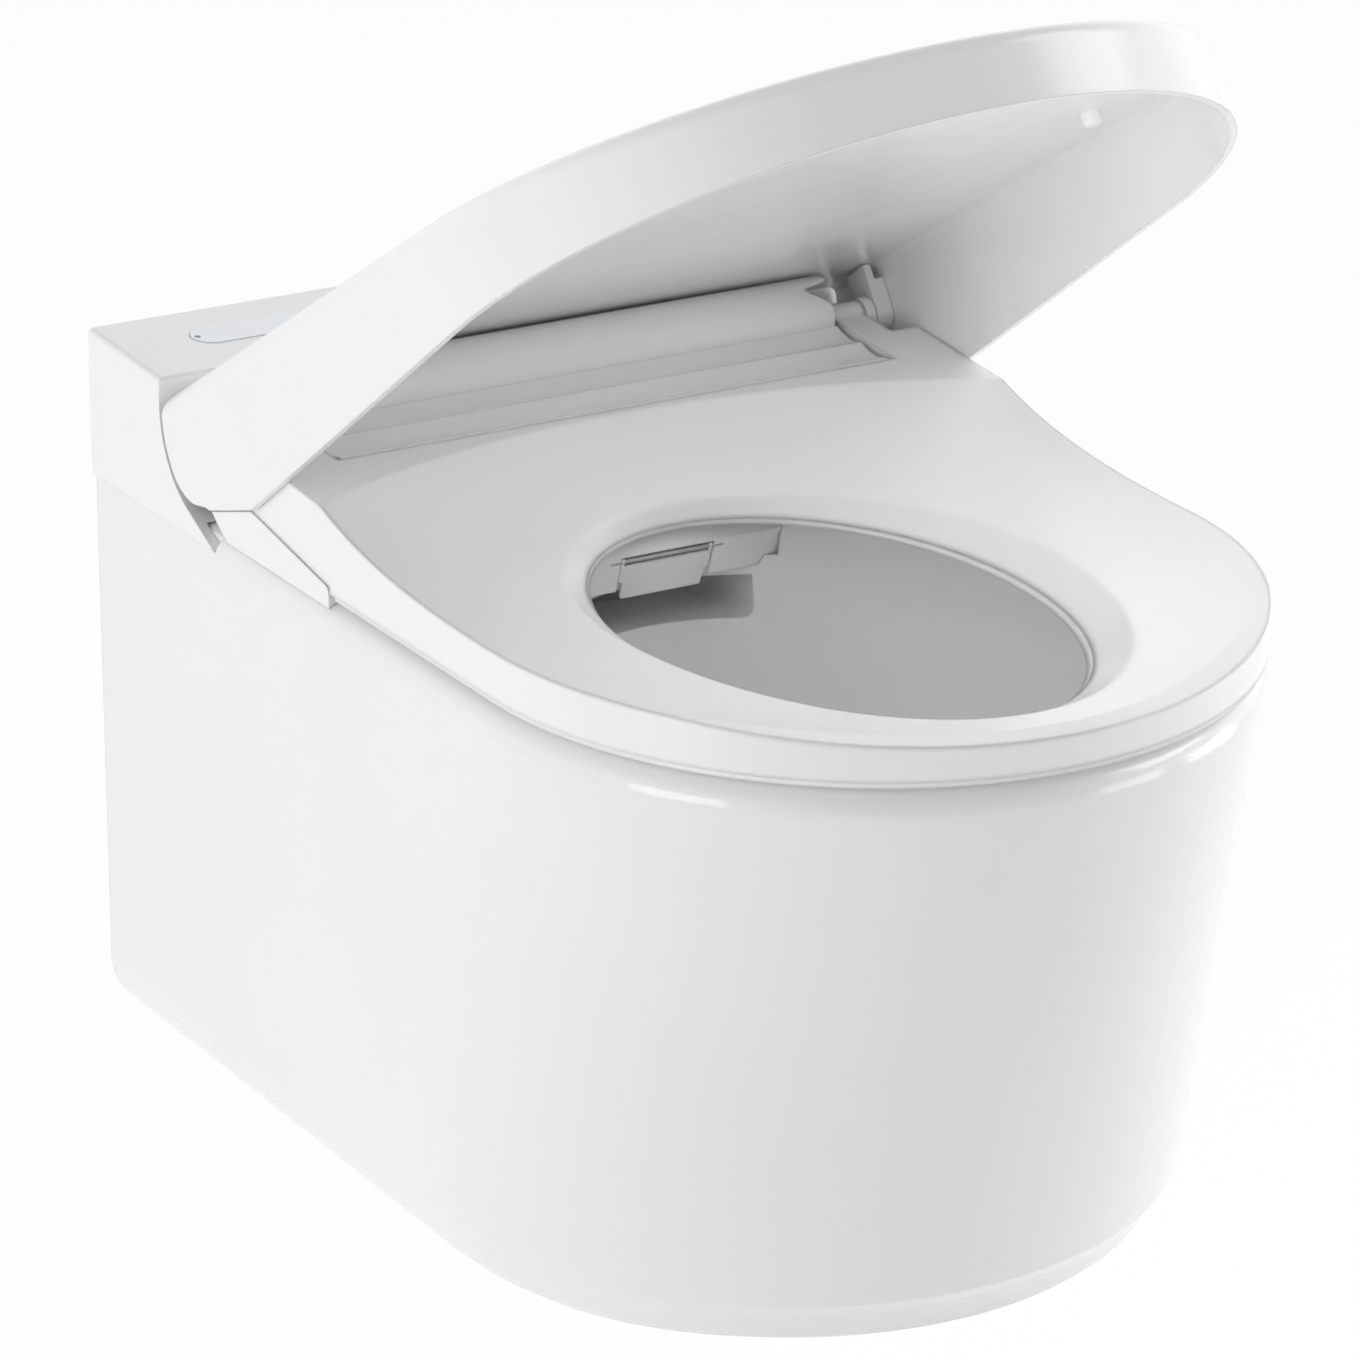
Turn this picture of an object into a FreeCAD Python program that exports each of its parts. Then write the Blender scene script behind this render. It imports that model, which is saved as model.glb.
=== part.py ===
import FreeCAD, Part
import math
import os

V = FreeCAD.Vector
X_AXIS = V(1, 0, 0)
Y_AXIS = V(0, 1, 0)
Z_AXIS = V(0, 0, 1)

# The wall is the plane y = 0, the front points to -Y, and z = 0 is the height of the two wall fixings.
WIDTH = 375.0
PROJECTION = 593.5
RIM_Z = 80.0
BODY_HEIGHT = 291.0
OVERRUN = 6.0
FIT = 0.3
PIN_FIT = 0.05

# Ceramic pan, outside
MAT_THICKNESS = 4.0
RIM_STRAIGHT_SETBACK = 208.5
RIM_ROUND = 12.0
FOOT_LEVELS = (
    (32.0, 0.0, 67.7, 258.4),
    (23.0, 1.3, 70.1, 260.0),
    (16.0, 4.3, 77.0, 262.2),
    (10.0, 8.8, 81.7, 256.1),
    (5.0, 14.8, 84.9, 245.3),
    (1.5, 22.3, 86.7, 234.6),
    (0.0, 32.0, 87.4, 229.2),
)
MAT_RISE = 32.0
MAT_INSET = 10.0
MAT_TOP_DROP = 12.0
CERAMIC_WALL = 12.0
BOWL_WALL = 10.0

# Ceramic pan, bowl and waterways
BOWL_HALF = 126.0
BOWL_SETBACK = 38.5
BOWL_REAR = 208.0
BOWL_MIDDLE_SETBACK = 210.5
BOWL_DEPTH = 186.0
BOWL_SHARES = (
    (0.00, 1.000, 1.000, 1.000),
    (0.25, 0.952, 0.959, 0.988),
    (0.49, 0.825, 0.814, 0.942),
    (0.70, 0.635, 0.545, 0.814),
    (0.89, 0.400, 0.205, 0.560),
    (1.00, 0.300, 0.060, 0.430),
)
TRAP_BORE = 30.0
TRAP_WALL = 10.0
TRAP_BEND = 42.0
TRAP_LAST_BEND = 45.0
TRAP_MOUTH_SETBACK = 240.5
TRAP_MOUTH_DROP = 131.0
TRAP_DIP_SETBACK = 255.5
TRAP_DIP_RISE = -5.0
TRAP_CREST_Y = 165.0
TRAP_CREST_DROP = 117.0
TRAP_FALL_Y = 112.0
OUTLET_DROP = 180.0
OUTLET_RADIUS = 51.0
OUTLET_BORE = 43.0
OUTLET_LENGTH = 70.0
OUTLET_SETBACK = 6.0
FLUSH_DROP = 45.0
FLUSH_BORE = 27.5
FLUSH_SOCKET = 58.0
FLUSH_CHANNEL = 16.0
CHAMBER_HALF = 50.0
CHAMBER_TOP_DROP = 33.0
CHAMBER_BOTTOM_DROP = 54.0
CHAMBER_REAR = 165.0
CHAMBER_FRONT = 245.0
CHAMBER_ROUND = 6.0
BEAM_HALF = 130.0
BEAM_DEPTH = 40.0
BEAM_BOTTOM = -36.0
STUD_SPACING = 180.0
STUD_CLEARANCE = 6.5
SLEEVE_RADIUS = 11.0
NOZZLE_POCKET_HALF = 36.0
NOZZLE_POCKET_REAR = 57.0
NOZZLE_POCKET_DROP = 23.0

# Rear housing
HOUSING_REAR_RISE = 65.5
HOUSING_FRONT_RISE = 61.5
HOUSING_WALL = 3.0
HOUSING_LAP = 8.0
HOUSING_LAP_WIDTH = 5.5
HOUSING_ARC = 48.7
HOUSING_ARC_END_DROP = 45.0
HOUSING_FOOT_Y = 131.0
HOUSING_ROUND = 3.0
SERVICE_INSET = 97.5
SERVICE_BOTTOM_RISE = 8.0
SERVICE_TOP_RISE = 52.0
ARM_ROOM = 26.0

# Control panel on the housing
PANEL_LENGTH = 130.0
PANEL_WIDTH = 22.0
PANEL_INSET = 103.5
PANEL_Y = 34.0
PANEL_THICKNESS = 2.0
PANEL_PROUD = 0.4
SENSOR_RADIUS = 1.6
SENSOR_INSET = 3.0

# Hinge line
HINGE_Y = -124.5
HINGE_RISE = 49.0
PIN_RADIUS = 4.0
PIN_INNER_INSET = 87.5
PIN_OUTER_INSET = 4.5
BARREL_RADIUS = 15.2
BARREL_BEHIND = 2.5
BARREL_ABOVE = 2.0
BARREL_INSET = 39.5
BARREL_WALL = 2.0
APRON_FRONT = 186.5
APRON_FRONT_RISE = 48.0
APRON_REAR = 137.6
APRON_REAR_RISE = 51.5
APRON_THICKNESS = 3.0
APRON_STEPS = 3
APRON_STEP = 1.0
APRON_SKIRT_DROP = 26.0
UPRIGHT_INNER_INSET = 18.5
UPRIGHT_OUTER_INSET = 13.5
BOSS_RADIUS = 9.0
BLOCK_INSET = 37.5
BLOCK_REAR = 118.0
BLOCK_FRONT = 168.0
BLOCK_TOP_RISE = 15.0
WEDGE_INSET = 11.5
WEDGE_DROP = 4.0
WEDGE_LOW_REAR_Y = 138.5
WEDGE_TOP_REAR_Y = 121.0
WEDGE_TOP_REAR_RISE = 8.5
WEDGE_CREST_Y = 162.0
WEDGE_CREST_RISE = 21.0
WEDGE_FRONT_Y = 240.0
WEDGE_FRONT_RISE = 7.5
WEDGE_GAP = 1.2
WEDGE_ROUND = 4.0
DAMPER_RADIUS = 8.0
DAMPER_LENGTH = 62.0

# Lid, drawn closed and then turned open
LID_OPEN = 35.4
LID_OVERHANG = 2.0
LID_STRAIGHT_SETBACK = 200.0
LID_EDGE_RISE = 2.5
LID_KNEE_Y = 148.0
LID_KNEE_HEIGHT = 71.0
LID_TAPER_SHARE = 0.086
LID_CROWN = 1.0
LID_WALL = 3.5
LID_TOP = 2.6
LID_ROUND = 8.0
LID_ARC = 46.2
LID_HEEL = (
    (105.0, 14.4),
    (101.5, 17.0),
    (96.5, 19.5),
    (91.5, 21.9),
    (87.0, 25.2),
    (83.2, 29.7),
    (80.0, 36.0),
    (77.0, 44.0),
)
LUG_INSET = 12.9
LUG_TOP_GAP = 0.9
BUMPER_RADIUS = 5.0
BUMPER_HEIGHT = 7.0
BUMPER_INSET = 38.5
BUMPER_SETBACK = 186.5

# Seat
SEAT_INSET = 4.2
SEAT_SETBACK = 2.5
SEAT_STRAIGHT_SETBACK = 199.0
SEAT_GAP = 2.0
SEAT_REAR_RISE = 48.3
SEAT_SLOPE_SHARE = 0.07
SEAT_NOTCH_Y = 188.0
SEAT_NOTCH_INSET = 36.5
EAR_REAR = 113.0
EAR_INSET = 19.2
EAR_STEP_Y = 156.0
EAR_BOSS = 8.0
SEAT_WALL = 3.0
SEAT_BASE = 3.0
SEAT_BASE_INSET = 1.6
OPENING_HALF = 114.0
OPENING_SETBACK = 39.5
OPENING_REAR = 236.0
OPENING_MIDDLE_SETBACK = 215.0
OPENING_RISE = 17.0
OPENING_ROUND = 5.0
LIP_HALF = 94.0
LIP_SETBACK = 66.5
LIP_REAR = 237.0
DISH_RISE = 32.0
DISH_SIDE = 218.0
DISH_FRONT = 205.0
DISH_REAR = 44.0
HEATER_SHEET = 0.8
BUFFER_RADIUS = 9.0
BUFFER_INSET = 37.5
BUFFER_REAR_SETBACK = 300.5
BUFFER_FRONT_INSET = 69.5
BUFFER_FRONT_SETBACK = 90.5
BUSH_WALL = 1.5

# Spray unit
FLAP_Y = 230.0
FLAP_DROP = 12.0
FLAP_ANGLE = 108.0
FLAP_LENGTH = 21.5
FLAP_HALF = 24.5
FLAP_THICKNESS = 2.0
FLAP_PIN = 1.2
ARM_ANGLE = 11.0
ARM_BELOW_PIN = 13.5
ARM_RADIUS = 5.0
ARM_BORE = 2.0
ARM_BEHIND = 50.0
ARM_LENGTH = 96.0
TIP_LENGTH = 24.0
JET_RADIUS = 0.6
JET_COUNT = 4
JET_PITCH = 3.0
GUIDE_WALL = 3.0
GUIDE_LENGTH = 62.0
GUIDE_START = 66.0
MOTOR_HEIGHT = 20.6
FAIRING_HALF = 85.0
FAIRING_TOP_Y = 224.0
FAIRING_TOP_DROP = 0.5
FAIRING_BOTTOM_DROP = 27.5
FAIRING_FOLD = 3.6

# Base plate and what it carries
PLATE_THICKNESS = 2.5
PLATE_INSET = 27.5
PLATE_REAR = 12.0
PLATE_FRONT = 100.0
PLATE_ARM_INNER_INSET = 55.5
PLATE_ARM_OUTER_INSET = 12.5
SEAT_BOLT_INSET = 110.0
SEAT_BOLT_Y = 64.0
SEAT_BOLT_RADIUS = 4.0
SEAT_BOLT_HEAD = 8.0
SEAT_BOLT_HEAD_HEIGHT = 4.0
SEAT_HOLE_RADIUS = 7.0
PLUG_LENGTH = 26.0
INNER_GAP = 0.3

# Water and power parts under the housing
VALVE_INSET = 127.5
VALVE_HALF = 15.0
VALVE_DEPTH = 30.0
VALVE_REACH = 45.0
CONNECTION_RISE = 30.0
WATER_THREAD = 10.4
WATER_BORE = 6.0
GLAND_RADIUS = 8.0
GLAND_BORE = 3.5
POWER_INSET = 127.5
POWER_HALF = 24.0
POWER_DEPTH = 34.0
SERVICE_SETBACK = 2.0
HEATER_INSET = 65.5
HEATER_HALF = 34.0
HEATER_DEPTH = 50.0
HEATER_HEIGHT = 36.0
PUMP_INSET = 61.5
PUMP_RADIUS = 16.0
PUMP_LENGTH = 54.0
PUMP_RISE = 8.0
BOARD_LENGTH = 136.0
BOARD_WIDTH = 34.0
BOARD_THICKNESS = 1.6
BOARD_DROP = 7.0
STANDOFF_RADIUS = 2.5
HOSE_RADIUS = 4.0
HOSE_WALL = 1.2
HOSE_BEND = 9.0
HOSE_RISE = 12.0
PART_ROUND = 4.0


def ring(outer, inner, start, direction, length):
    """A tube along a direction, from two radii."""
    body = Part.makeCylinder(outer, length, start, direction)
    hole = Part.makeCylinder(inner, length + OVERRUN, start - direction * (OVERRUN / 2), direction)
    return body.cut(hole)


def block(x0, x1, y0, y1, z0, z1):
    """A box from its limits along each axis."""
    return Part.makeBox(x1 - x0, y1 - y0, z1 - z0, V(x0, y0, z0))


def rounded_block(x0, x1, y0, y1, z0, z1, radius):
    """A moulded box with its upright edges rounded."""
    box = block(x0, x1, y0, y1, z0, z1)
    upright = [edge for edge in box.Edges if edge.BoundBox.ZLength > (z1 - z0) / 2]
    return box.makeFillet(radius, upright)


def mirror_x(shape):
    """The same piece on the other side of the toilet."""
    return shape.mirror(V(0, 0, 0), X_AXIS)


def both_sides(shape):
    """Left and right copies as one group."""
    return Part.makeCompound([shape, mirror_x(shape)])


def side_prism(corners, x0, x1):
    """A flat side profile of (y, z) corners, pushed along X."""
    points = [V(x0, y, z) for y, z in corners]
    face = Part.Face(Part.makePolygon(points + points[:1]))
    return face.extrude(X_AXIS * (x1 - x0))


def half_ellipse(half, middle, tip, z):
    """Half an ellipse about y = middle, over a tip in front of it or behind it."""
    reach = abs(tip - middle)
    turn = 1 if tip < middle else -1
    centre = V(0, middle, z)
    side = V(turn * half, middle, z)
    if reach >= half:
        return Part.Ellipse(V(0, tip, z), side, centre).toShape(-math.pi / 2, math.pi / 2)
    return Part.Ellipse(side, V(0, middle + turn * reach, z), centre).toShape(math.pi, 2 * math.pi)


def egg_wire(half, front, middle, rear, z):
    """A closed oval from two half ellipses; distances run forward from the wall."""
    return Part.Wire([half_ellipse(half, -middle, -front, z), half_ellipse(half, -middle, -rear, z)])


def pan_wire(half, front, straight, rear, z):
    """A pan outline: straight flanks closed by half an ellipse in front."""
    left_rear = V(-half, -rear, z)
    left_front = V(-half, -straight, z)
    right_front = V(half, -straight, z)
    right_rear = V(half, -rear, z)
    edges = [
        Part.makeLine(left_rear, left_front),
        half_ellipse(half, -straight, -front, z),
        Part.makeLine(right_front, right_rear),
        Part.makeLine(right_rear, left_rear),
    ]
    return Part.Wire(edges)


def rounded_path(points, radii):
    """Straight runs joined by tangent arcs, one radius per inner corner."""
    edges = []
    start = points[0]
    for corner, radius, before, after in zip(points[1:-1], radii, points[:-2], points[2:]):
        arriving = (corner - before).normalize()
        leaving = (after - corner).normalize()
        turn = arriving.getAngle(leaving)
        reach = radius * math.tan(turn / 2)
        first = corner - arriving * reach
        last = corner + leaving * reach
        inward = (leaving - arriving).normalize()
        middle = corner + inward * (radius / math.cos(turn / 2) - radius)
        edges.append(Part.makeLine(start, first))
        edges.append(Part.Arc(first, middle, last).toShape())
        start = last
    edges.append(Part.makeLine(start, points[-1]))
    return Part.Wire(edges)


def pipe(points, radii, radius):
    """A round bar along a rounded path."""
    path = rounded_path(points, radii)
    along = (points[1] - points[0]).normalize()
    section = Part.Wire(Part.makeCircle(radius, points[0], along))
    return path.makePipeShell([section], True, False)


def soften(shape, radius, picked):
    """Round the picked edges, or leave the shape as it is where none is picked."""
    edges = [e for e in shape.Edges if picked(e)]
    return shape.makeFillet(radius, edges) if edges else shape


# Places that follow the pan's width and projection
HALF_WIDTH = WIDTH / 2
PIN_OUTER_X = HALF_WIDTH - PIN_OUTER_INSET
PIN_INNER_X = HALF_WIDTH - PIN_INNER_INSET
BARREL_HALF = HALF_WIDTH - BARREL_INSET
UPRIGHT_INNER = HALF_WIDTH - UPRIGHT_INNER_INSET
UPRIGHT_OUTER = HALF_WIDTH - UPRIGHT_OUTER_INSET
BLOCK_INNER = HALF_WIDTH - BLOCK_INSET
WEDGE_INNER = HALF_WIDTH - WEDGE_INSET
LUG_INNER = HALF_WIDTH - LUG_INSET
SEAT_HALF = HALF_WIDTH - SEAT_INSET
SEAT_NOTCH_HALF = HALF_WIDTH - SEAT_NOTCH_INSET
EAR_OUTER = HALF_WIDTH - EAR_INSET
BUMPER_X = HALF_WIDTH - BUMPER_INSET
BUFFER_X = HALF_WIDTH - BUFFER_INSET
BUFFER_FRONT_X = HALF_WIDTH - BUFFER_FRONT_INSET
PLATE_HALF = HALF_WIDTH - PLATE_INSET
PLATE_ARM_INNER = HALF_WIDTH - PLATE_ARM_INNER_INSET
PLATE_ARM_OUTER = HALF_WIDTH - PLATE_ARM_OUTER_INSET
SERVICE_HALF = HALF_WIDTH - SERVICE_INSET
HEATER_X = HALF_WIDTH - HEATER_INSET
POWER_X = HALF_WIDTH - POWER_INSET
VALVE_X = VALVE_INSET - HALF_WIDTH
PUMP_X = PUMP_INSET - HALF_WIDTH
PANEL_CENTRE_X = PANEL_INSET - HALF_WIDTH
RIM_STRAIGHT = PROJECTION - RIM_STRAIGHT_SETBACK
BOWL_FRONT = PROJECTION - BOWL_SETBACK
BOWL_MIDDLE = PROJECTION - BOWL_MIDDLE_SETBACK
TRAP_MOUTH_Y = PROJECTION - TRAP_MOUTH_SETBACK
TRAP_DIP_Y = PROJECTION - TRAP_DIP_SETBACK
SEAT_FRONT = PROJECTION - SEAT_SETBACK
SEAT_STRAIGHT = PROJECTION - SEAT_STRAIGHT_SETBACK
OPENING_FRONT = PROJECTION - OPENING_SETBACK
OPENING_MIDDLE = PROJECTION - OPENING_MIDDLE_SETBACK
LIP_FRONT = PROJECTION - LIP_SETBACK
BUFFER_FRONT_Y = PROJECTION - BUFFER_FRONT_SETBACK
BUFFER_REAR_Y = PROJECTION - BUFFER_REAR_SETBACK
BUMPER_Y = PROJECTION - BUMPER_SETBACK
LID_STRAIGHT = PROJECTION - LID_STRAIGHT_SETBACK
LID_FRONT = PROJECTION + LID_OVERHANG
SEAT_BOLT_X = HALF_WIDTH - SEAT_BOLT_INSET
BOTTOM_Z = RIM_Z - BODY_HEIGHT
HINGE_Z = RIM_Z + HINGE_RISE
HINGE = V(0, HINGE_Y, HINGE_Z)
PLATE_Z = RIM_Z + FIT / 2
CARRY_Z = PLATE_Z + PLATE_THICKNESS + INNER_GAP


# Ceramic pan
def pan_outside(inset, rear, top, bottom):
    """The outer form of the pan, drawn smaller by an inset for its hollow."""
    wires = [pan_wire(HALF_WIDTH - inset, PROJECTION - inset, RIM_STRAIGHT, rear, top)]
    for rise, side, front, straight in FOOT_LEVELS:
        z = max(BOTTOM_Z + rise, bottom)
        half = HALF_WIDTH - side - inset
        wires.append(pan_wire(half, PROJECTION - front - inset, PROJECTION - straight, rear, z))
        if z == bottom:
            break
    return Part.makeLoft(wires, True, True)


def bowl_form(offset, top):
    """The bowl's inside, or its outside when it is drawn larger by an offset."""
    wires = []
    for depth, half, front, rear in BOWL_SHARES:
        z = RIM_Z - depth * (BOWL_DEPTH + offset)
        front_y = BOWL_MIDDLE + front * (BOWL_FRONT - BOWL_MIDDLE) + offset
        rear_y = BOWL_MIDDLE - rear * (BOWL_MIDDLE - BOWL_REAR) - offset
        wires.append(egg_wire(half * BOWL_HALF + offset, front_y, (front_y + rear_y) / 2, rear_y, z))
    form = Part.makeLoft(wires, True, False)
    if top > RIM_Z:
        brim = egg_wire(BOWL_HALF + offset, BOWL_FRONT + offset, (BOWL_FRONT + BOWL_REAR) / 2,
                        BOWL_REAR - offset, RIM_Z)
        form = form.fuse(Part.Face(brim).extrude(Z_AXIS * (top - RIM_Z)))
    return form


def trap_points(rear):
    """The centre line of the waterway: down, under the dip, over the crest and out."""
    return [
        V(0, -TRAP_MOUTH_Y, RIM_Z - TRAP_MOUTH_DROP),
        V(0, -TRAP_DIP_Y, BOTTOM_Z + TRAP_DIP_RISE),
        V(0, -TRAP_CREST_Y, RIM_Z - TRAP_CREST_DROP),
        V(0, -TRAP_FALL_Y, RIM_Z - OUTLET_DROP),
        V(0, -rear, RIM_Z - OUTLET_DROP),
    ]


TRAP_BENDS = (TRAP_BEND, TRAP_BEND, TRAP_LAST_BEND)
OUTLET_Z = RIM_Z - OUTLET_DROP
FLUSH_Z = RIM_Z - FLUSH_DROP
CHAMBER_TOP = RIM_Z - CHAMBER_TOP_DROP
CHAMBER_BOTTOM = RIM_Z - CHAMBER_BOTTOM_DROP
CERAMIC_REAR = MAT_THICKNESS


def is_rim_edge(edge):
    """True for the pan's upper outer edge, without its straight edge at the wall."""
    return edge.BoundBox.ZMin > RIM_Z - FIT and edge.BoundBox.YMin < -CERAMIC_REAR - FIT


def runs_along_y(edge):
    """True for an edge that points mostly forward."""
    heading = edge.tangentAt(edge.FirstParameter)
    return abs(heading.y) > abs(heading.x) and abs(heading.y) > abs(heading.z)


def ceramic_bowl():
    """The pan: a glazed shell with its bowl, trap, flush channel and fixing beam."""
    outside = pan_outside(0, CERAMIC_REAR, RIM_Z, BOTTOM_Z)
    outside = soften(outside, RIM_ROUND, is_rim_edge)
    hollow = pan_outside(CERAMIC_WALL, -OVERRUN, RIM_Z - CERAMIC_WALL, BOTTOM_Z + CERAMIC_WALL)
    spigot_start = V(0, -OUTLET_SETBACK, OUTLET_Z)
    inner_end = OUTLET_SETBACK + OUTLET_LENGTH / 2
    kept = [
        bowl_form(BOWL_WALL, RIM_Z),
        pipe(trap_points(inner_end), TRAP_BENDS, TRAP_BORE + TRAP_WALL),
        Part.makeCylinder(OUTLET_RADIUS, OUTLET_LENGTH, spigot_start, -Y_AXIS),
        block(-CHAMBER_HALF - BOWL_WALL, CHAMBER_HALF + BOWL_WALL, -CHAMBER_FRONT, -CHAMBER_REAR + BOWL_WALL,
              CHAMBER_BOTTOM - BOWL_WALL, CHAMBER_TOP + BOWL_WALL),
        Part.makeCylinder(FLUSH_BORE + BOWL_WALL, CHAMBER_REAR, V(0, 0, FLUSH_Z), -Y_AXIS),
        block(-BEAM_HALF, BEAM_HALF, -CERAMIC_REAR - BEAM_DEPTH, -CERAMIC_REAR,
              BEAM_BOTTOM, RIM_Z - CERAMIC_WALL),
    ]
    for piece in kept:
        hollow = hollow.cut(piece)
    shell = outside.cut(hollow)
    rear_trim = block(-HALF_WIDTH - OVERRUN, HALF_WIDTH + OVERRUN, -CERAMIC_REAR, OVERRUN + CHAMBER_REAR,
                      BOTTOM_Z - OVERRUN, RIM_Z + OVERRUN)
    shell = shell.cut(rear_trim)
    shell = shell.cut(bowl_form(0, RIM_Z + OVERRUN))
    cuts = [
        pipe(trap_points(inner_end), TRAP_BENDS, TRAP_BORE),
        Part.makeCylinder(OUTLET_BORE, OUTLET_LENGTH - OUTLET_SETBACK, V(0, 0, OUTLET_Z), -Y_AXIS),
        rounded_chamber(),
        Part.makeCylinder(FLUSH_BORE, FLUSH_SOCKET, V(0, 0, FLUSH_Z), -Y_AXIS),
        Part.makeCylinder(FLUSH_CHANNEL, CHAMBER_REAR + OVERRUN, V(0, 0, FLUSH_Z), -Y_AXIS),
        nozzle_pocket(),
        arm_groove(),
        fairing_notch(),
        housing_rebate(),
    ]
    cuts += [Part.makeCylinder(SLEEVE_RADIUS, BEAM_DEPTH + CERAMIC_REAR + OVERRUN, V(x, 0, 0), -Y_AXIS)
             for x in (-STUD_SPACING / 2, STUD_SPACING / 2)]
    hole_top = RIM_Z + OVERRUN / 2
    cuts += [Part.makeCylinder(SEAT_HOLE_RADIUS, CERAMIC_WALL + OVERRUN, V(x, -SEAT_BOLT_Y, hole_top), -Z_AXIS)
             for x in (-SEAT_BOLT_X, SEAT_BOLT_X)]
    for cut in cuts:
        shell = shell.cut(cut)
    return max(shell.Solids, key=lambda s: s.Volume)


def rounded_chamber():
    """The wide slot below the spray unit that the flush water comes through."""
    box = block(-CHAMBER_HALF, CHAMBER_HALF, -CHAMBER_FRONT, -CHAMBER_REAR, CHAMBER_BOTTOM, CHAMBER_TOP)
    low_z = CHAMBER_TOP - FIT
    return soften(box, CHAMBER_ROUND, lambda edge: runs_along_y(edge) and edge.BoundBox.ZMax < low_z)


def nozzle_pocket():
    """The slot in the rear deck that the spray unit lies in."""
    return block(-NOZZLE_POCKET_HALF, NOZZLE_POCKET_HALF, -BOWL_REAR - OVERRUN, -NOZZLE_POCKET_REAR,
                 RIM_Z - NOZZLE_POCKET_DROP, RIM_Z + OVERRUN)


def arm_groove():
    """The groove in that slot's floor that the arm slides through."""
    return Part.makeCylinder(ARM_RADIUS + FLAP_THICKNESS, GUIDE_START, ARM_CROSSING, -ARM_OUT)


def fairing_notch():
    """The gap in the bowl's rear wall that the spray unit's front fills."""
    return block(-FAIRING_HALF, FAIRING_HALF, -FLAP_Y, -BOWL_REAR + BOWL_WALL / 2,
                 RIM_Z - NOZZLE_POCKET_DROP, RIM_Z + OVERRUN)


def housing_rebate():
    """The ledge along both flanks that the rear housing laps over."""
    side = block(HALF_WIDTH - HOUSING_LAP_WIDTH, HALF_WIDTH + OVERRUN, -HOUSING_FOOT_Y, OVERRUN,
                 RIM_Z - HOUSING_LAP, RIM_Z + OVERRUN)
    return side.fuse(mirror_x(side))


def wall_mat():
    """The foam sheet between the ceramic and the wall."""
    mat = block(-HALF_WIDTH + MAT_INSET, HALF_WIDTH - MAT_INSET, -MAT_THICKNESS, 0,
                BOTTOM_Z + MAT_RISE, RIM_Z - MAT_TOP_DROP)
    holes = [(0, OUTLET_Z, OUTLET_RADIUS + BOWL_WALL), (0, FLUSH_Z, FLUSH_BORE + FIT)]
    holes += [(x, 0, SLEEVE_RADIUS + FIT) for x in (-STUD_SPACING / 2, STUD_SPACING / 2)]
    for x, z, radius in holes:
        mat = mat.cut(Part.makeCylinder(radius, MAT_THICKNESS + 2 * OVERRUN, V(x, OVERRUN, z), -Y_AXIS))
    return mat


def wall_sleeves():
    """Plastic sleeves that centre the wall studs in the ceramic."""
    start = V(STUD_SPACING / 2, 0, 0)
    sleeve = ring(SLEEVE_RADIUS - PIN_FIT, STUD_CLEARANCE, start, -Y_AXIS, BEAM_DEPTH + CERAMIC_REAR)
    return both_sides(sleeve)


# Rear housing
SEAM_Z = RIM_Z - HOUSING_LAP
DECK_CLEAR_Z = RIM_Z + FIT
TOP_REAR_Z = RIM_Z + HOUSING_REAR_RISE
TOP_FRONT_Z = RIM_Z + HOUSING_FRONT_RISE


def arc_y(radius, z):
    """Where the circle about the hinge line reaches a height, behind the hinge."""
    return HINGE_Y + math.sqrt(radius ** 2 - (z - HINGE_Z) ** 2)


def housing_profile(wall, x0, x1, bottom):
    """The housing's side form, drawn smaller by a wall for its hollow."""
    radius = HOUSING_ARC + wall
    top_front = TOP_FRONT_Z - wall
    low_z = HINGE_Z - HOUSING_ARC_END_DROP
    start = V(x0, arc_y(radius, top_front), top_front)
    end = V(x0, arc_y(radius, low_z), low_z)
    middle = V(x0, HINGE_Y + radius, HINGE_Z)
    rear_low = V(x0, -wall, bottom)
    rear_top = V(x0, -wall, TOP_REAR_Z - wall)
    foot = V(x0, -HOUSING_FOOT_Y + wall, bottom)
    edges = [
        Part.makeLine(rear_low, rear_top),
        Part.makeLine(rear_top, start),
        Part.Arc(start, middle, end).toShape(),
        Part.makeLine(end, foot),
        Part.makeLine(foot, rear_low),
    ]
    return Part.Face(Part.Wire(edges)).extrude(X_AXIS * (x1 - x0))


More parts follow.
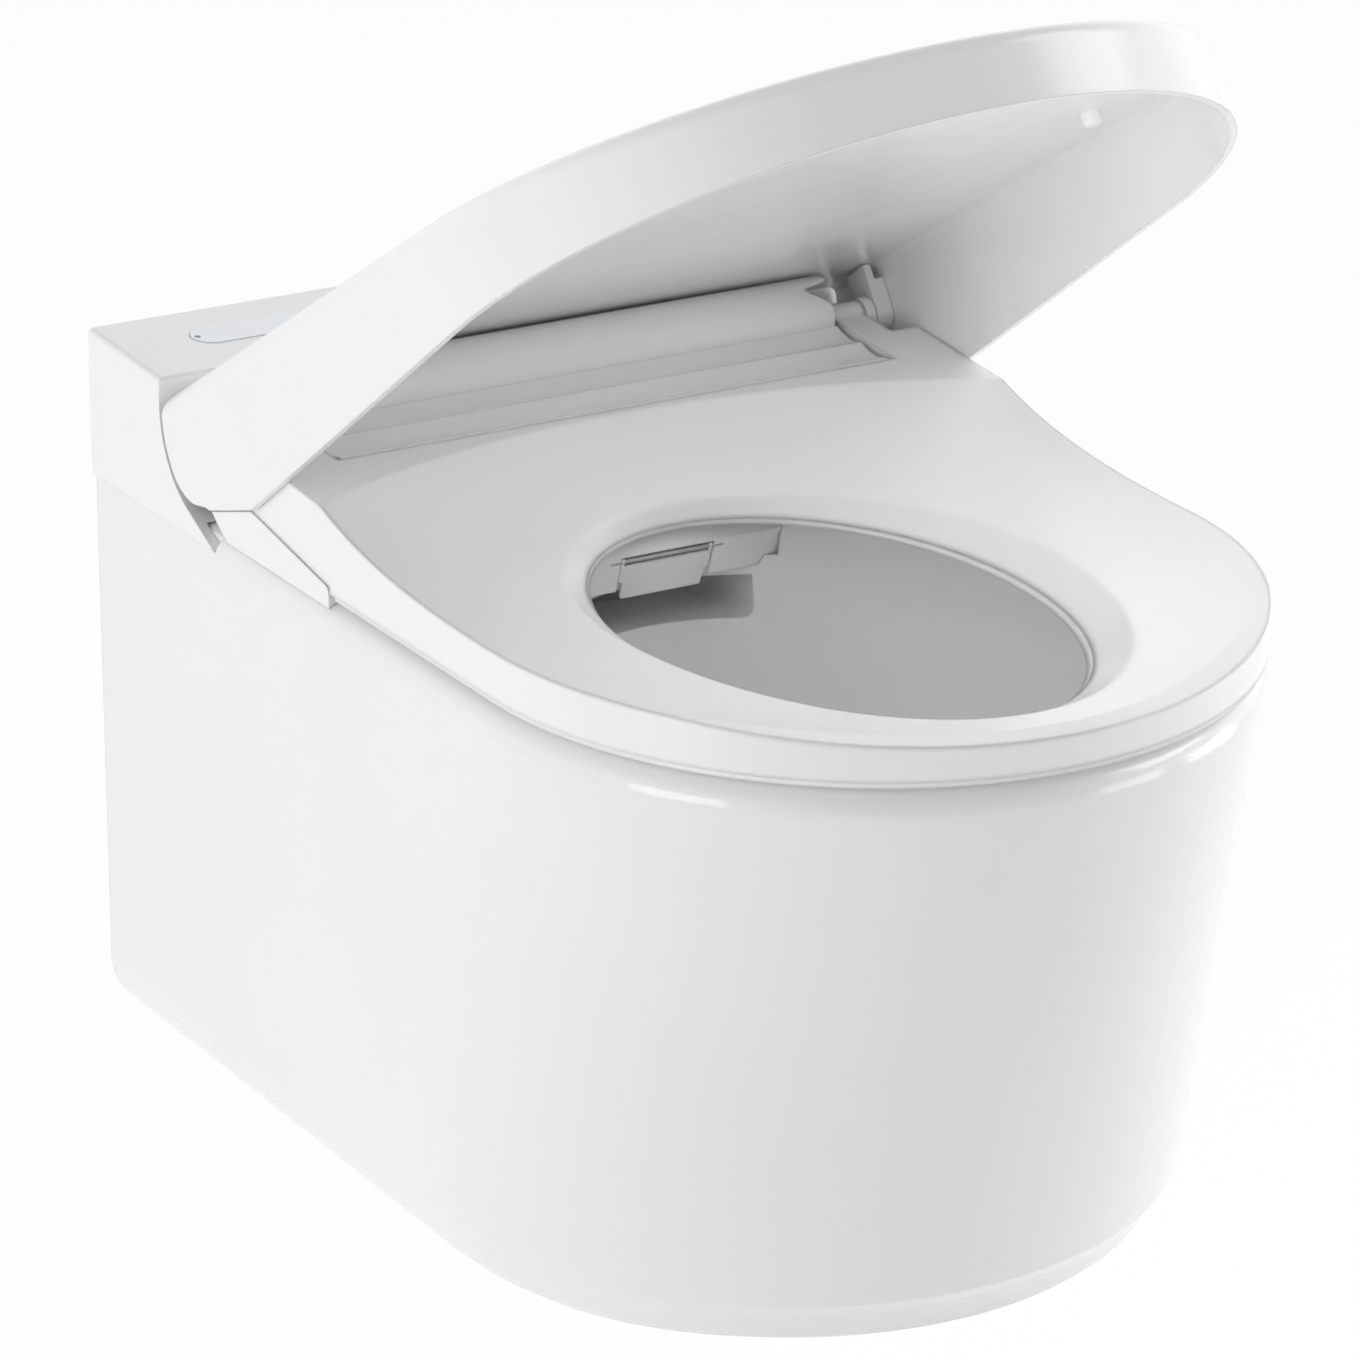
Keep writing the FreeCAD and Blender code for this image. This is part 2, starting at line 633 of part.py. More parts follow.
def rear_housing():
    """The cover over the water and power parts, with its hollow front arc."""
    outside = housing_profile(0, -HALF_WIDTH, HALF_WIDTH, SEAM_Z)
    top_edges = [e for e in outside.Edges
                 if e.BoundBox.ZMin > TOP_FRONT_Z - FIT and e.BoundBox.XMax - e.BoundBox.XMin > HALF_WIDTH
                 and e.BoundBox.YMax < -HOUSING_ROUND]
    top_edges += [e for e in outside.Edges
                  if e.BoundBox.ZMin > TOP_FRONT_Z - FIT and e.BoundBox.XMax - e.BoundBox.XMin < FIT]
    outside = outside.makeFillet(HOUSING_ROUND, top_edges)
    side_x = HALF_WIDTH - HOUSING_WALL
    inside = housing_profile(HOUSING_WALL, -side_x, side_x, SEAM_Z - OVERRUN)
    deck = block(-HALF_WIDTH + HOUSING_LAP_WIDTH - FIT, HALF_WIDTH - HOUSING_LAP_WIDTH + FIT,
                 -HOUSING_FOOT_Y - OVERRUN, OVERRUN, SEAM_Z - OVERRUN, DECK_CLEAR_Z)
    service = block(-SERVICE_HALF, SERVICE_HALF, -HOUSING_WALL - OVERRUN, OVERRUN,
                    RIM_Z + SERVICE_BOTTOM_RISE, RIM_Z + SERVICE_TOP_RISE)
    plate = block(-PLATE_ARM_OUTER - FIT, PLATE_ARM_OUTER + FIT, -HOUSING_FOOT_Y - OVERRUN, -PLATE_REAR,
                  SEAM_Z - OVERRUN, CARRY_Z)
    arm = block(-NOZZLE_POCKET_HALF, NOZZLE_POCKET_HALF, -HOUSING_FOOT_Y - OVERRUN, -NOZZLE_POCKET_REAR,
                SEAM_Z - OVERRUN, RIM_Z + ARM_ROOM)
    shell = outside.cut(inside)
    for cut in (deck, plate, arm, service, panel_form(FIT / 2, PANEL_THICKNESS)):
        shell = shell.cut(cut)
    return max(shell.Solids, key=lambda s: s.Volume)


TOP_TILT = math.degrees(math.atan2(TOP_REAR_Z - TOP_FRONT_Z, -arc_y(HOUSING_ARC, TOP_FRONT_Z)))


def on_top(shape):
    """Set a piece that is drawn on z = 0 onto the sloping top of the housing."""
    shape.translate(V(0, 0, TOP_REAR_Z))
    shape.rotate(V(0, 0, TOP_REAR_Z), X_AXIS, TOP_TILT)
    return shape


def panel_form(grow, depth):
    """The pill-shaped panel, or the pocket that it sits in."""
    radius = PANEL_WIDTH / 2 + grow
    straight = PANEL_LENGTH / 2 - PANEL_WIDTH / 2
    bar = block(PANEL_CENTRE_X - straight, PANEL_CENTRE_X + straight, -PANEL_Y - radius, -PANEL_Y + radius,
                -depth, OVERRUN)
    for x in (PANEL_CENTRE_X - straight, PANEL_CENTRE_X + straight):
        bar = bar.fuse(Part.makeCylinder(radius, depth + OVERRUN, V(x, -PANEL_Y, -depth)))
    return on_top(bar.removeSplitter())


def control_panel():
    """The clear touch strip in the housing's top."""
    strip = panel_form(0, PANEL_THICKNESS)
    above = on_top(block(-WIDTH, WIDTH, -WIDTH, WIDTH, PANEL_PROUD, 2 * OVERRUN))
    return strip.cut(above).cut(sensor_form(PIN_FIT))


def sensor_form(grow):
    """The sensor at the end of the panel."""
    x = PANEL_CENTRE_X - PANEL_LENGTH / 2 + SENSOR_INSET
    return on_top(Part.makeCylinder(SENSOR_RADIUS + grow, PANEL_THICKNESS + PANEL_PROUD + grow,
                                    V(x, -PANEL_Y, -PANEL_THICKNESS)))


# Hinge group
def is_wedge_nose(edge):
    """True for the upper front edge of the side wedge."""
    box = edge.BoundBox
    return box.XLength > FIT and box.YMax < -WEDGE_FRONT_Y + FIT and box.ZMin > RIM_Z + WEDGE_FRONT_RISE - FIT


def is_flank_top_edge(edge):
    """True for the upper outer edge of a bar along the right flank."""
    return edge.BoundBox.XMin > HALF_WIDTH and edge.BoundBox.ZMin > RIM_Z


def hinge_block():
    """The right hinge block: side wedge, foot and upright for the pin."""
    wedge_outer = HALF_WIDTH - LID_WALL - 2 * FIT
    wedge = side_prism([
        (-WEDGE_LOW_REAR_Y, RIM_Z - WEDGE_DROP),
        (-WEDGE_TOP_REAR_Y, RIM_Z + WEDGE_TOP_REAR_RISE),
        (-WEDGE_CREST_Y, RIM_Z + WEDGE_CREST_RISE),
        (-WEDGE_FRONT_Y, RIM_Z + WEDGE_FRONT_RISE),
        (-WEDGE_FRONT_Y, RIM_Z - WEDGE_DROP),
    ], WEDGE_INNER, wedge_outer)
    wedge = soften(wedge, WEDGE_ROUND, is_wedge_nose)
    rim = block(0, HALF_WIDTH + FIT, -WEDGE_FRONT_Y - OVERRUN, 0, 0, DECK_CLEAR_Z)
    wedge = wedge.cut(soften(rim, RIM_ROUND + FIT, is_flank_top_edge))
    foot_z = PLATE_Z + PLATE_THICKNESS
    foot = block(BLOCK_INNER, WEDGE_INNER, -BLOCK_FRONT, -BLOCK_REAR, foot_z, RIM_Z + BLOCK_TOP_RISE)
    web = block(UPRIGHT_INNER, UPRIGHT_OUTER, HINGE_Y - BOSS_RADIUS, HINGE_Y + BOSS_RADIUS, foot_z, HINGE_Z)
    boss_start = V(UPRIGHT_INNER, HINGE_Y, HINGE_Z)
    boss = Part.makeCylinder(BOSS_RADIUS, UPRIGHT_OUTER - UPRIGHT_INNER, boss_start, X_AXIS)
    hole = Part.makeCylinder(PIN_RADIUS + PIN_FIT, WIDTH, V(0, HINGE_Y, HINGE_Z), X_AXIS)
    return wedge.fuse(foot).fuse(web).fuse(boss).cut(hole).removeSplitter()


def hinge_pins():
    """The two steel pins on the hinge line."""
    start = V(PIN_INNER_X, HINGE_Y, HINGE_Z)
    return both_sides(Part.makeCylinder(PIN_RADIUS, PIN_OUTER_X - PIN_INNER_X, start, X_AXIS))


BARREL_CENTRE = V(0, HINGE_Y + BARREL_BEHIND, HINGE_Z + BARREL_ABOVE)


def along_x(radius, x0, x1, centre):
    """A round bar along X about a centre."""
    return Part.makeCylinder(radius, x1 - x0, V(x0, centre.y, centre.z), X_AXIS)


def hinge_cover():
    """The long round cover over the dampers, standing on the base plate."""
    foot_z = PLATE_Z + PLATE_THICKNESS
    front_y = BARREL_CENTRE.y - BARREL_RADIUS
    outside = along_x(BARREL_RADIUS, -BARREL_HALF, BARREL_HALF, BARREL_CENTRE)
    leg = block(PLATE_ARM_INNER + FIT, BARREL_HALF, front_y, front_y + BARREL_RADIUS, foot_z, BARREL_CENTRE.z)
    outside = outside.fuse(leg).fuse(mirror_x(leg))
    inner_half = BARREL_HALF - 2 * BARREL_WALL
    bore = along_x(BARREL_RADIUS - BARREL_WALL, -inner_half, inner_half, BARREL_CENTRE)
    hole = along_x(PIN_RADIUS + PIN_FIT, -HALF_WIDTH, HALF_WIDTH, HINGE)
    return outside.cut(bore).cut(hole).removeSplitter()


def hinge_apron():
    """The stepped strip between the hinge cover and the seat."""
    top = []
    for i in range(APRON_STEPS):
        share_0 = i / APRON_STEPS
        share_1 = (i + 1) / APRON_STEPS
        y0 = APRON_REAR + (APRON_FRONT - APRON_REAR) * share_0
        y1 = APRON_REAR + (APRON_FRONT - APRON_REAR) * share_1
        z0 = RIM_Z + APRON_REAR_RISE - (APRON_REAR_RISE - APRON_FRONT_RISE) * share_0
        z1 = RIM_Z + APRON_REAR_RISE - (APRON_REAR_RISE - APRON_FRONT_RISE) * share_1
        drop = APRON_STEP if i % 2 else 0
        top += [(-y0, z0 - drop), (-y1, z1 - drop)]
    skirt_z = RIM_Z + APRON_FRONT_RISE - APRON_SKIRT_DROP
    under = [
        (-APRON_FRONT, skirt_z),
        (-APRON_FRONT + APRON_THICKNESS, skirt_z),
        (-APRON_FRONT + APRON_THICKNESS, RIM_Z + APRON_FRONT_RISE - APRON_THICKNESS - APRON_STEP),
        (-APRON_REAR, RIM_Z + APRON_FRONT_RISE - APRON_THICKNESS - APRON_STEP),
    ]
    strip = side_prism(top + under, -BARREL_HALF, BARREL_HALF)
    strip = strip.cut(along_x(BARREL_RADIUS + FIT, -HALF_WIDTH, HALF_WIDTH, BARREL_CENTRE))
    leg = block(PLATE_ARM_INNER + FIT, BARREL_HALF, -BLOCK_FRONT, -BLOCK_FRONT + BOSS_RADIUS,
                PLATE_Z + PLATE_THICKNESS, RIM_Z + APRON_FRONT_RISE - APRON_THICKNESS)
    return strip.fuse(leg).fuse(mirror_x(leg)).removeSplitter()


def damper(side):
    """A soft-close damper on the inner end of a hinge pin."""
    end_x = BARREL_HALF - 2 * BARREL_WALL - FIT
    body = along_x(DAMPER_RADIUS, end_x - DAMPER_LENGTH, end_x, HINGE)
    flange = along_x(BARREL_RADIUS - BARREL_WALL - FIT, end_x - 2 * BARREL_WALL, end_x, BARREL_CENTRE)
    hole = along_x(PIN_RADIUS + PIN_FIT, PIN_INNER_X - FIT, HALF_WIDTH, HINGE)
    whole = body.fuse(flange).cut(hole).removeSplitter()
    return whole if side > 0 else mirror_x(whole)


# Lid
LID_EDGE_Z = RIM_Z + LID_EDGE_RISE


def lid_top_z(y, drop):
    """Height of the lid's top over the flank at a distance from the wall, lid closed."""
    return LID_EDGE_Z + LID_KNEE_HEIGHT - LID_TAPER_SHARE * (y - LID_KNEE_Y) - drop


def lid_form(wall, top, low):
    """The closed lid's outer form, or its hollow when it is drawn smaller."""
    outline = pan_wire(HALF_WIDTH - wall, LID_FRONT - wall, LID_STRAIGHT, 0, low)
    prism = Part.Face(outline).extrude(Z_AXIS * (HINGE_Z + LID_KNEE_HEIGHT - low))
    far = LID_FRONT + OVERRUN
    near = -HINGE_Y - LID_ARC - OVERRUN
    slope = side_prism([
        (-near, low - OVERRUN),
        (-near, lid_top_z(near, top)),
        (-far, lid_top_z(far, top)),
        (-far, low - OVERRUN),
    ], -HALF_WIDTH - OVERRUN, HALF_WIDTH + OVERRUN)
    slope.translate(Z_AXIS * LID_CROWN)
    crown_radius = (HALF_WIDTH ** 2 + LID_CROWN ** 2) / (2 * LID_CROWN)
    tilt = math.atan(LID_TAPER_SHARE)
    along = V(0, math.cos(tilt), math.sin(tilt))
    upward = V(0, -math.sin(tilt), math.cos(tilt))
    ridge = V(0, -far, lid_top_z(far, top) + LID_CROWN)
    crown_start = ridge - upward * crown_radius - along * OVERRUN
    crown = Part.makeCylinder(crown_radius, 2 * LID_FRONT, crown_start, along)
    return prism.common(slope).common(crown)


def lid_side_profile():
    """The lid's side seen square on: straight edge, rising heel and round tail."""
    high = HINGE_Z + LID_KNEE_HEIGHT
    side_x = -HALF_WIDTH - OVERRUN
    far_low = V(side_x, -LID_FRONT - OVERRUN, LID_EDGE_Z)
    far_high = V(side_x, -LID_FRONT - OVERRUN, high)
    knee = V(side_x, -LID_KNEE_Y, LID_EDGE_Z)
    heel = [V(side_x, -y, LID_EDGE_Z + rise) for y, rise in LID_HEEL]
    tail = V(side_x, heel[-1].y, high)
    curve = Part.BSplineCurve()
    curve.interpolate(heel)
    edges = [Part.makeLine(far_low, knee), Part.makeLine(knee, heel[0]), curve.toShape(),
             Part.makeLine(heel[-1], tail), Part.makeLine(tail, far_high), Part.makeLine(far_high, far_low)]
    body = Part.Face(Part.Wire(edges)).extrude(X_AXIS * (WIDTH + 2 * OVERRUN))
    reach = Part.makeCylinder(LID_ARC, WIDTH + 2 * OVERRUN, V(-HALF_WIDTH - OVERRUN, HINGE_Y, HINGE_Z), X_AXIS)
    ahead = block(-HALF_WIDTH - OVERRUN, HALF_WIDTH + OVERRUN, -LID_FRONT - OVERRUN, HINGE_Y,
                  LID_EDGE_Z - OVERRUN, high)
    return body.common(reach.fuse(ahead))


def open_lid(shape):
    """Turn a piece of the lid from closed to where the lid rests."""
    shape.rotate(HINGE, -X_AXIS, LID_OPEN)
    return shape


def is_lid_top_edge(edge):
    """True for the edges that run round the lid's top, not for its rear or lower edge."""
    box = edge.BoundBox
    is_high = box.ZMin > LID_EDGE_Z + BUMPER_RADIUS
    return is_high and box.YMin < HINGE_Y - BARREL_RADIUS and box.YLength > LID_WALL


def lid_shell():
    """The deep lid, one thin moulding."""
    outside = lid_form(0, 0, LID_EDGE_Z)
    outside = soften(outside, LID_ROUND, is_lid_top_edge)
    inside = lid_form(LID_WALL, LID_TOP, LID_EDGE_Z - OVERRUN)
    inside = soften(inside, LID_ROUND - LID_WALL, is_lid_top_edge)
    shell = outside.common(lid_side_profile()).cut(inside)
    hole_end = PIN_OUTER_X + FIT
    hole = Part.makeCylinder(PIN_RADIUS + PIN_FIT, 2 * hole_end, V(-hole_end, HINGE_Y, HINGE_Z), X_AXIS)
    return open_lid(shell.cut(hole))


def lid_lug():
    """The right lug that hangs the lid on its pin."""
    side_x = HALF_WIDTH - LID_WALL - INNER_GAP
    top_z = lid_top_z(-HINGE_Y, LID_TOP) - LUG_TOP_GAP
    rear_y = HINGE_Y - BOSS_RADIUS
    front_y = HINGE_Y + BOSS_RADIUS
    boss = Part.makeCylinder(BOSS_RADIUS, side_x - LUG_INNER, V(LUG_INNER, HINGE_Y, HINGE_Z), X_AXIS)
    web = block(LUG_INNER, side_x - BUMPER_RADIUS, rear_y, front_y, HINGE_Z, top_z - FIT)
    low_web = block(LUG_INNER, side_x, rear_y, front_y, HINGE_Z, top_z - LID_ROUND)
    hole = Part.makeCylinder(PIN_RADIUS + BUSH_WALL + PIN_FIT, WIDTH, V(0, HINGE_Y, HINGE_Z), X_AXIS)
    return open_lid(boss.fuse(web).fuse(low_web).cut(hole).removeSplitter())


def lid_bush():
    """The plastic bush between the lid's lug and its pin."""
    length = HALF_WIDTH - LID_WALL - INNER_GAP - LUG_INNER
    start = V(LUG_INNER, HINGE_Y, HINGE_Z)
    return open_lid(ring(PIN_RADIUS + BUSH_WALL, PIN_RADIUS + PIN_FIT, start, X_AXIS, length))


def lid_bumper(x, y):
    """A short rubber stop on the lid's underside."""
    low = lid_top_z(y, LID_TOP) - BUMPER_HEIGHT
    stop = Part.makeCylinder(BUMPER_RADIUS, LID_KNEE_HEIGHT, V(x, -y, low))
    return open_lid(stop.common(lid_form(LID_WALL + INNER_GAP, LID_TOP + INNER_GAP, LID_EDGE_Z - OVERRUN)))


def lid_bumpers():
    """One stop on each side under the lid."""
    return both_sides(lid_bumper(BUMPER_X, BUMPER_Y))


# Seat
SEAT_LOW_Z = RIM_Z + SEAT_GAP


def dish_cutter(inset, low):
    """What is taken out of the seat: its opening and the dished top around it."""
    lip = egg_wire(LIP_HALF + inset, LIP_FRONT + inset, OPENING_MIDDLE, LIP_REAR - inset, SEAT_LOW_Z)
    base = min(low, SEAT_LOW_Z - OVERRUN)
    below = egg_wire(LIP_HALF + inset, LIP_FRONT + inset, OPENING_MIDDLE, LIP_REAR - inset, base)
    edge_z = RIM_Z + OPENING_RISE - inset
    edge = egg_wire(OPENING_HALF + inset, OPENING_FRONT + inset, OPENING_MIDDLE, OPENING_REAR - inset, edge_z)
    wide = egg_wire(OPENING_HALF + DISH_SIDE + inset, OPENING_FRONT + DISH_FRONT + inset, OPENING_MIDDLE,
                    OPENING_REAR - DISH_REAR - inset, edge_z + DISH_RISE)
    return Part.makeLoft([below, lip], True, True).fuse(Part.makeLoft([lip, edge, wide], True, True))


def ear_trim(inset, low, high):
    """What is taken off behind the seat to leave its two hinge ears."""
    middle = block(-SEAT_NOTCH_HALF - inset, SEAT_NOTCH_HALF + inset, -SEAT_NOTCH_Y - inset, 0, low, high)
    outer = block(EAR_OUTER - inset, WIDTH, -EAR_STEP_Y - inset, 0, low, high)
    side = side_prism([
        (-WEDGE_CREST_Y + WIDTH, low),
        (-WEDGE_CREST_Y + WIDTH, RIM_Z + WEDGE_CREST_RISE + WEDGE_GAP + inset),
        (-WEDGE_CREST_Y, RIM_Z + WEDGE_CREST_RISE + WEDGE_GAP + inset),
        (-WEDGE_FRONT_Y - WEDGE_GAP - inset, RIM_Z + WEDGE_FRONT_RISE + WEDGE_GAP + inset),
        (-WEDGE_FRONT_Y - WEDGE_GAP - inset, low),
    ], WEDGE_INNER - WEDGE_GAP - inset, WIDTH)
    return middle.fuse(outer).fuse(mirror_x(outer)).fuse(side).fuse(mirror_x(side))


def seat_form(inset, low):
    """The seat's solid form, drawn smaller by an inset for its hollow."""
    rear = EAR_REAR + inset
    outline = pan_wire(SEAT_HALF - inset, SEAT_FRONT - inset, SEAT_STRAIGHT, rear, low)
    prism = Part.Face(outline).extrude(Z_AXIS * (HINGE_Z + OVERRUN - low))
    far = SEAT_FRONT + OVERRUN
    rear_top = RIM_Z + SEAT_REAR_RISE - inset
    slope = side_prism([
        (OVERRUN, low - OVERRUN),
        (OVERRUN, rear_top + SEAT_SLOPE_SHARE * (SEAT_NOTCH_Y + OVERRUN)),
        (-far, rear_top - SEAT_SLOPE_SHARE * (far - SEAT_NOTCH_Y)),
        (-far, low - OVERRUN),
    ], -SEAT_HALF - OVERRUN, SEAT_HALF + OVERRUN)
    form = prism.common(slope).cut(dish_cutter(inset, low - OVERRUN))
    return form.cut(ear_trim(inset, low - OVERRUN, HINGE_Z + 2 * OVERRUN))


EAR_LOW_Z = RIM_Z + BLOCK_TOP_RISE + 2 * WEDGE_GAP


def under_ears(low):
    """The room under the ears for the hinge blocks."""
    return block(-WIDTH, WIDTH, -BLOCK_FRONT - 2 * WEDGE_GAP, 0, low, EAR_LOW_Z)


def ear_bosses(radius, x_inner):
    """Round bosses on the ears about the hinge line."""
    boss = Part.makeCylinder(radius, EAR_OUTER - x_inner, V(x_inner, HINGE_Y, HINGE_Z), X_AXIS)
    return boss.fuse(mirror_x(boss))


def seat_shell():
    """The seat's upper moulding, hollow under its top."""
    split_z = SEAT_LOW_Z + SEAT_BASE
    whole = seat_form(0, split_z)
    hollow = seat_form(SEAT_WALL, split_z - OVERRUN)
    behind = block(-WIDTH, WIDTH, -SEAT_NOTCH_Y - SEAT_WALL, 0, split_z - 2 * OVERRUN, HINGE_Z + OVERRUN)
    hollow = hollow.cut(behind)
    whole = round_opening(whole)
    shell = whole.cut(hollow).cut(under_ears(split_z - OVERRUN))
    shell = shell.fuse(ear_bosses(EAR_BOSS, SEAT_NOTCH_HALF))
    hole = Part.makeCylinder(PIN_RADIUS + BUSH_WALL + PIN_FIT, WIDTH, V(-HALF_WIDTH, HINGE_Y, HINGE_Z), X_AXIS)
    return max(shell.cut(hole).Solids, key=lambda s: s.Volume)


def round_opening(shape):
    """Soften the edge of the seat's opening."""
    reach = OPENING_HALF + FIT
    inner = [e for e in shape.Edges if e.BoundBox.XMax < reach and e.BoundBox.XMin > -reach
             and abs(e.BoundBox.ZMin - RIM_Z - OPENING_RISE) < FIT]
    return shape.makeFillet(OPENING_ROUND, inner)


def seat_base():
    """The seat's lower plate, set in a little from the moulding above it."""
    top = SEAT_LOW_Z + SEAT_BASE - INNER_GAP
    form = seat_form(SEAT_BASE_INSET, SEAT_LOW_Z)
    rear_y = -BLOCK_FRONT - 2 * WEDGE_GAP
    return form.common(block(-WIDTH, WIDTH, -SEAT_FRONT - OVERRUN, rear_y, SEAT_LOW_Z - OVERRUN, top))


def seat_heater():
    """The warming foil under the seat's top."""
    low = SEAT_LOW_Z + 2 * SEAT_BASE
    outer = seat_form(SEAT_WALL + INNER_GAP, low)
    inner = seat_form(SEAT_WALL + INNER_GAP + HEATER_SHEET, low - OVERRUN)
    keep = block(-WIDTH, WIDTH, -SEAT_FRONT, -SEAT_NOTCH_Y - 2 * SEAT_WALL, low, HINGE_Z)
    foil = outer.cut(inner).common(keep)
    return max(foil.Solids, key=lambda s: s.Volume)


def seat_buffers():
    """Four rubber feet that rest on the rim."""
    low_z = RIM_Z + INNER_GAP / 2
    rear = Part.makeCylinder(BUFFER_RADIUS, SEAT_GAP - INNER_GAP, V(BUFFER_X, -BUFFER_REAR_Y, low_z))
    front = Part.makeCylinder(BUFFER_RADIUS, SEAT_GAP - INNER_GAP, V(BUFFER_FRONT_X, -BUFFER_FRONT_Y, low_z))
    return Part.makeCompound([rear, mirror_x(rear), front, mirror_x(front)])


def seat_bushes():
    """Plastic bushes between the seat's ears and the pins."""
    start = V(SEAT_NOTCH_HALF, HINGE_Y, HINGE_Z)
    length = EAR_OUTER - SEAT_NOTCH_HALF
    return both_sides(ring(PIN_RADIUS + BUSH_WALL, PIN_RADIUS + PIN_FIT, start, X_AXIS, length))


# Spray unit
FLAP_Z = RIM_Z - FLAP_DROP
FLAP_HINGE = V(0, -FLAP_Y, FLAP_Z)
FLAP_DOWN = V(0, -math.cos(math.radians(FLAP_ANGLE)), -math.sin(math.radians(FLAP_ANGLE)))
FLAP_OUT = V(0, -math.sin(math.radians(FLAP_ANGLE)), math.cos(math.radians(FLAP_ANGLE)))
ARM_OUT = V(0, -math.cos(math.radians(ARM_ANGLE)), -math.sin(math.radians(ARM_ANGLE)))
ARM_CROSSING = FLAP_HINGE + FLAP_DOWN * ARM_BELOW_PIN


def flap_plate(half, length, thickness, lift):
    """A plate in the flap's plane, hanging from the flap's pin."""
    start = FLAP_HINGE + FLAP_OUT * lift
    corners = [start + V(-half, 0, 0), start + V(half, 0, 0), start + V(half, 0, 0) + FLAP_DOWN * length,
               start + V(-half, 0, 0) + FLAP_DOWN * length]
    return Part.Face(Part.makePolygon(corners + corners[:1])).extrude(FLAP_OUT * thickness)


def fairing_profile():
    """The spray unit's front seen from the side."""
    low_z = RIM_Z - FAIRING_BOTTOM_DROP
    front = FLAP_HINGE + FLAP_OUT * FIT
    fold = front - FLAP_DOWN * FAIRING_FOLD
    reach = (FLAP_Z - low_z) / math.sin(math.radians(FLAP_ANGLE))
    low_front = front + FLAP_DOWN * reach
    return [
        (-BOWL_REAR - BOWL_WALL / 2 + BOWL_WALL, RIM_Z - FAIRING_TOP_DROP),
        (-FAIRING_TOP_Y, RIM_Z - FAIRING_TOP_DROP),
        (fold.y, fold.z),
        (low_front.y, low_front.z),
        (-BOWL_REAR, low_z),
        (-BOWL_REAR - BOWL_WALL / 2 + BOWL_WALL, RIM_Z - NOZZLE_POCKET_DROP + FIT),
    ]


def nozzle_housing():
    """The smooth front over the spray arm, with the flap's opening."""
    form = side_prism(fairing_profile(), -FAIRING_HALF + FIT, FAIRING_HALF - FIT)
    form = form.common(bowl_form(-FIT, RIM_Z).fuse(inside_notch()))
    room = flap_plate(FLAP_HALF + 2 * FIT, FLAP_LENGTH + FIT, OVERRUN, -FLAP_THICKNESS - FIT)
    behind = flap_plate(FLAP_HALF - FLAP_THICKNESS, FLAP_LENGTH - FIT, 2 * FLAP_LENGTH, -2 * FLAP_LENGTH)
    pin_room = Part.makeCylinder(FLAP_PIN + FLAP_THICKNESS, 2 * FLAP_HALF + 4 * FIT,
                                 FLAP_HINGE - FLAP_OUT * (FLAP_THICKNESS / 2) + V(-FLAP_HALF - 2 * FIT, 0, 0), X_AXIS)
    pin_hole = Part.makeCylinder(FLAP_PIN + PIN_FIT, 2 * FLAP_HALF + 2 * OVERRUN,
                                 FLAP_HINGE - FLAP_OUT * (FLAP_THICKNESS / 2) + V(-FLAP_HALF - OVERRUN, 0, 0), X_AXIS)
    tunnel = Part.makeCylinder(ARM_RADIUS + FLAP_THICKNESS, GUIDE_START, ARM_CROSSING, -ARM_OUT)
    for cut in (room, behind, pin_room, pin_hole, tunnel):
        form = form.cut(cut)
    return max(form.Solids, key=lambda s: s.Volume)


def inside_notch():
    """The part of the front that stands in the gap of the bowl's rear wall."""
    return block(-FAIRING_HALF + FIT, FAIRING_HALF - FIT, -FLAP_Y + FIT, -BOWL_REAR + BOWL_WALL / 2 - FIT,
                 RIM_Z - NOZZLE_POCKET_DROP + FIT, RIM_Z)


def nozzle_flap():
    """The small flap that the arm's motion lifts."""
    plate = flap_plate(FLAP_HALF, FLAP_LENGTH, FLAP_THICKNESS, -FLAP_THICKNESS)
    knuckle = Part.makeCylinder(FLAP_PIN + FLAP_THICKNESS / 2, 2 * FLAP_HALF,
                                FLAP_HINGE - FLAP_OUT * (FLAP_THICKNESS / 2) + V(-FLAP_HALF, 0, 0), X_AXIS)
    hole = Part.makeCylinder(FLAP_PIN + PIN_FIT, WIDTH,
                             FLAP_HINGE - FLAP_OUT * (FLAP_THICKNESS / 2) + V(-HALF_WIDTH, 0, 0), X_AXIS)
    return plate.fuse(knuckle).cut(hole).removeSplitter()


def flap_pin():
    """The thin steel pin that the flap turns on."""
    half = FLAP_HALF + OVERRUN / 2
    return Part.makeCylinder(FLAP_PIN, 2 * half, FLAP_HINGE - FLAP_OUT * (FLAP_THICKNESS / 2) + V(-half, 0, 0), X_AXIS)


def spray_arm():
    """The sliding tube that carries the water to the tip."""
    start = ARM_CROSSING - ARM_OUT * (ARM_BEHIND + TIP_LENGTH)
    return ring(ARM_RADIUS, ARM_BORE, start, -ARM_OUT, ARM_LENGTH)


def spray_tip():
    """The rounded tip with its row of jets."""
    start = ARM_CROSSING - ARM_OUT * (ARM_BEHIND + TIP_LENGTH)
    straight = TIP_LENGTH - ARM_RADIUS
    tip = Part.makeCylinder(ARM_RADIUS, straight, start, ARM_OUT)
    tip = tip.fuse(Part.makeSphere(ARM_RADIUS, start + ARM_OUT * straight))
    tip = tip.cut(Part.makeCylinder(ARM_BORE, straight, start, ARM_OUT))
    up = V(0, -math.sin(math.radians(ARM_ANGLE)), math.cos(math.radians(ARM_ANGLE)))
    for i in range(JET_COUNT):
        base = start + ARM_OUT * (straight - ARM_RADIUS - i * JET_PITCH)
        tip = tip.cut(Part.makeCylinder(JET_RADIUS, 2 * ARM_RADIUS, base, up))
    return tip


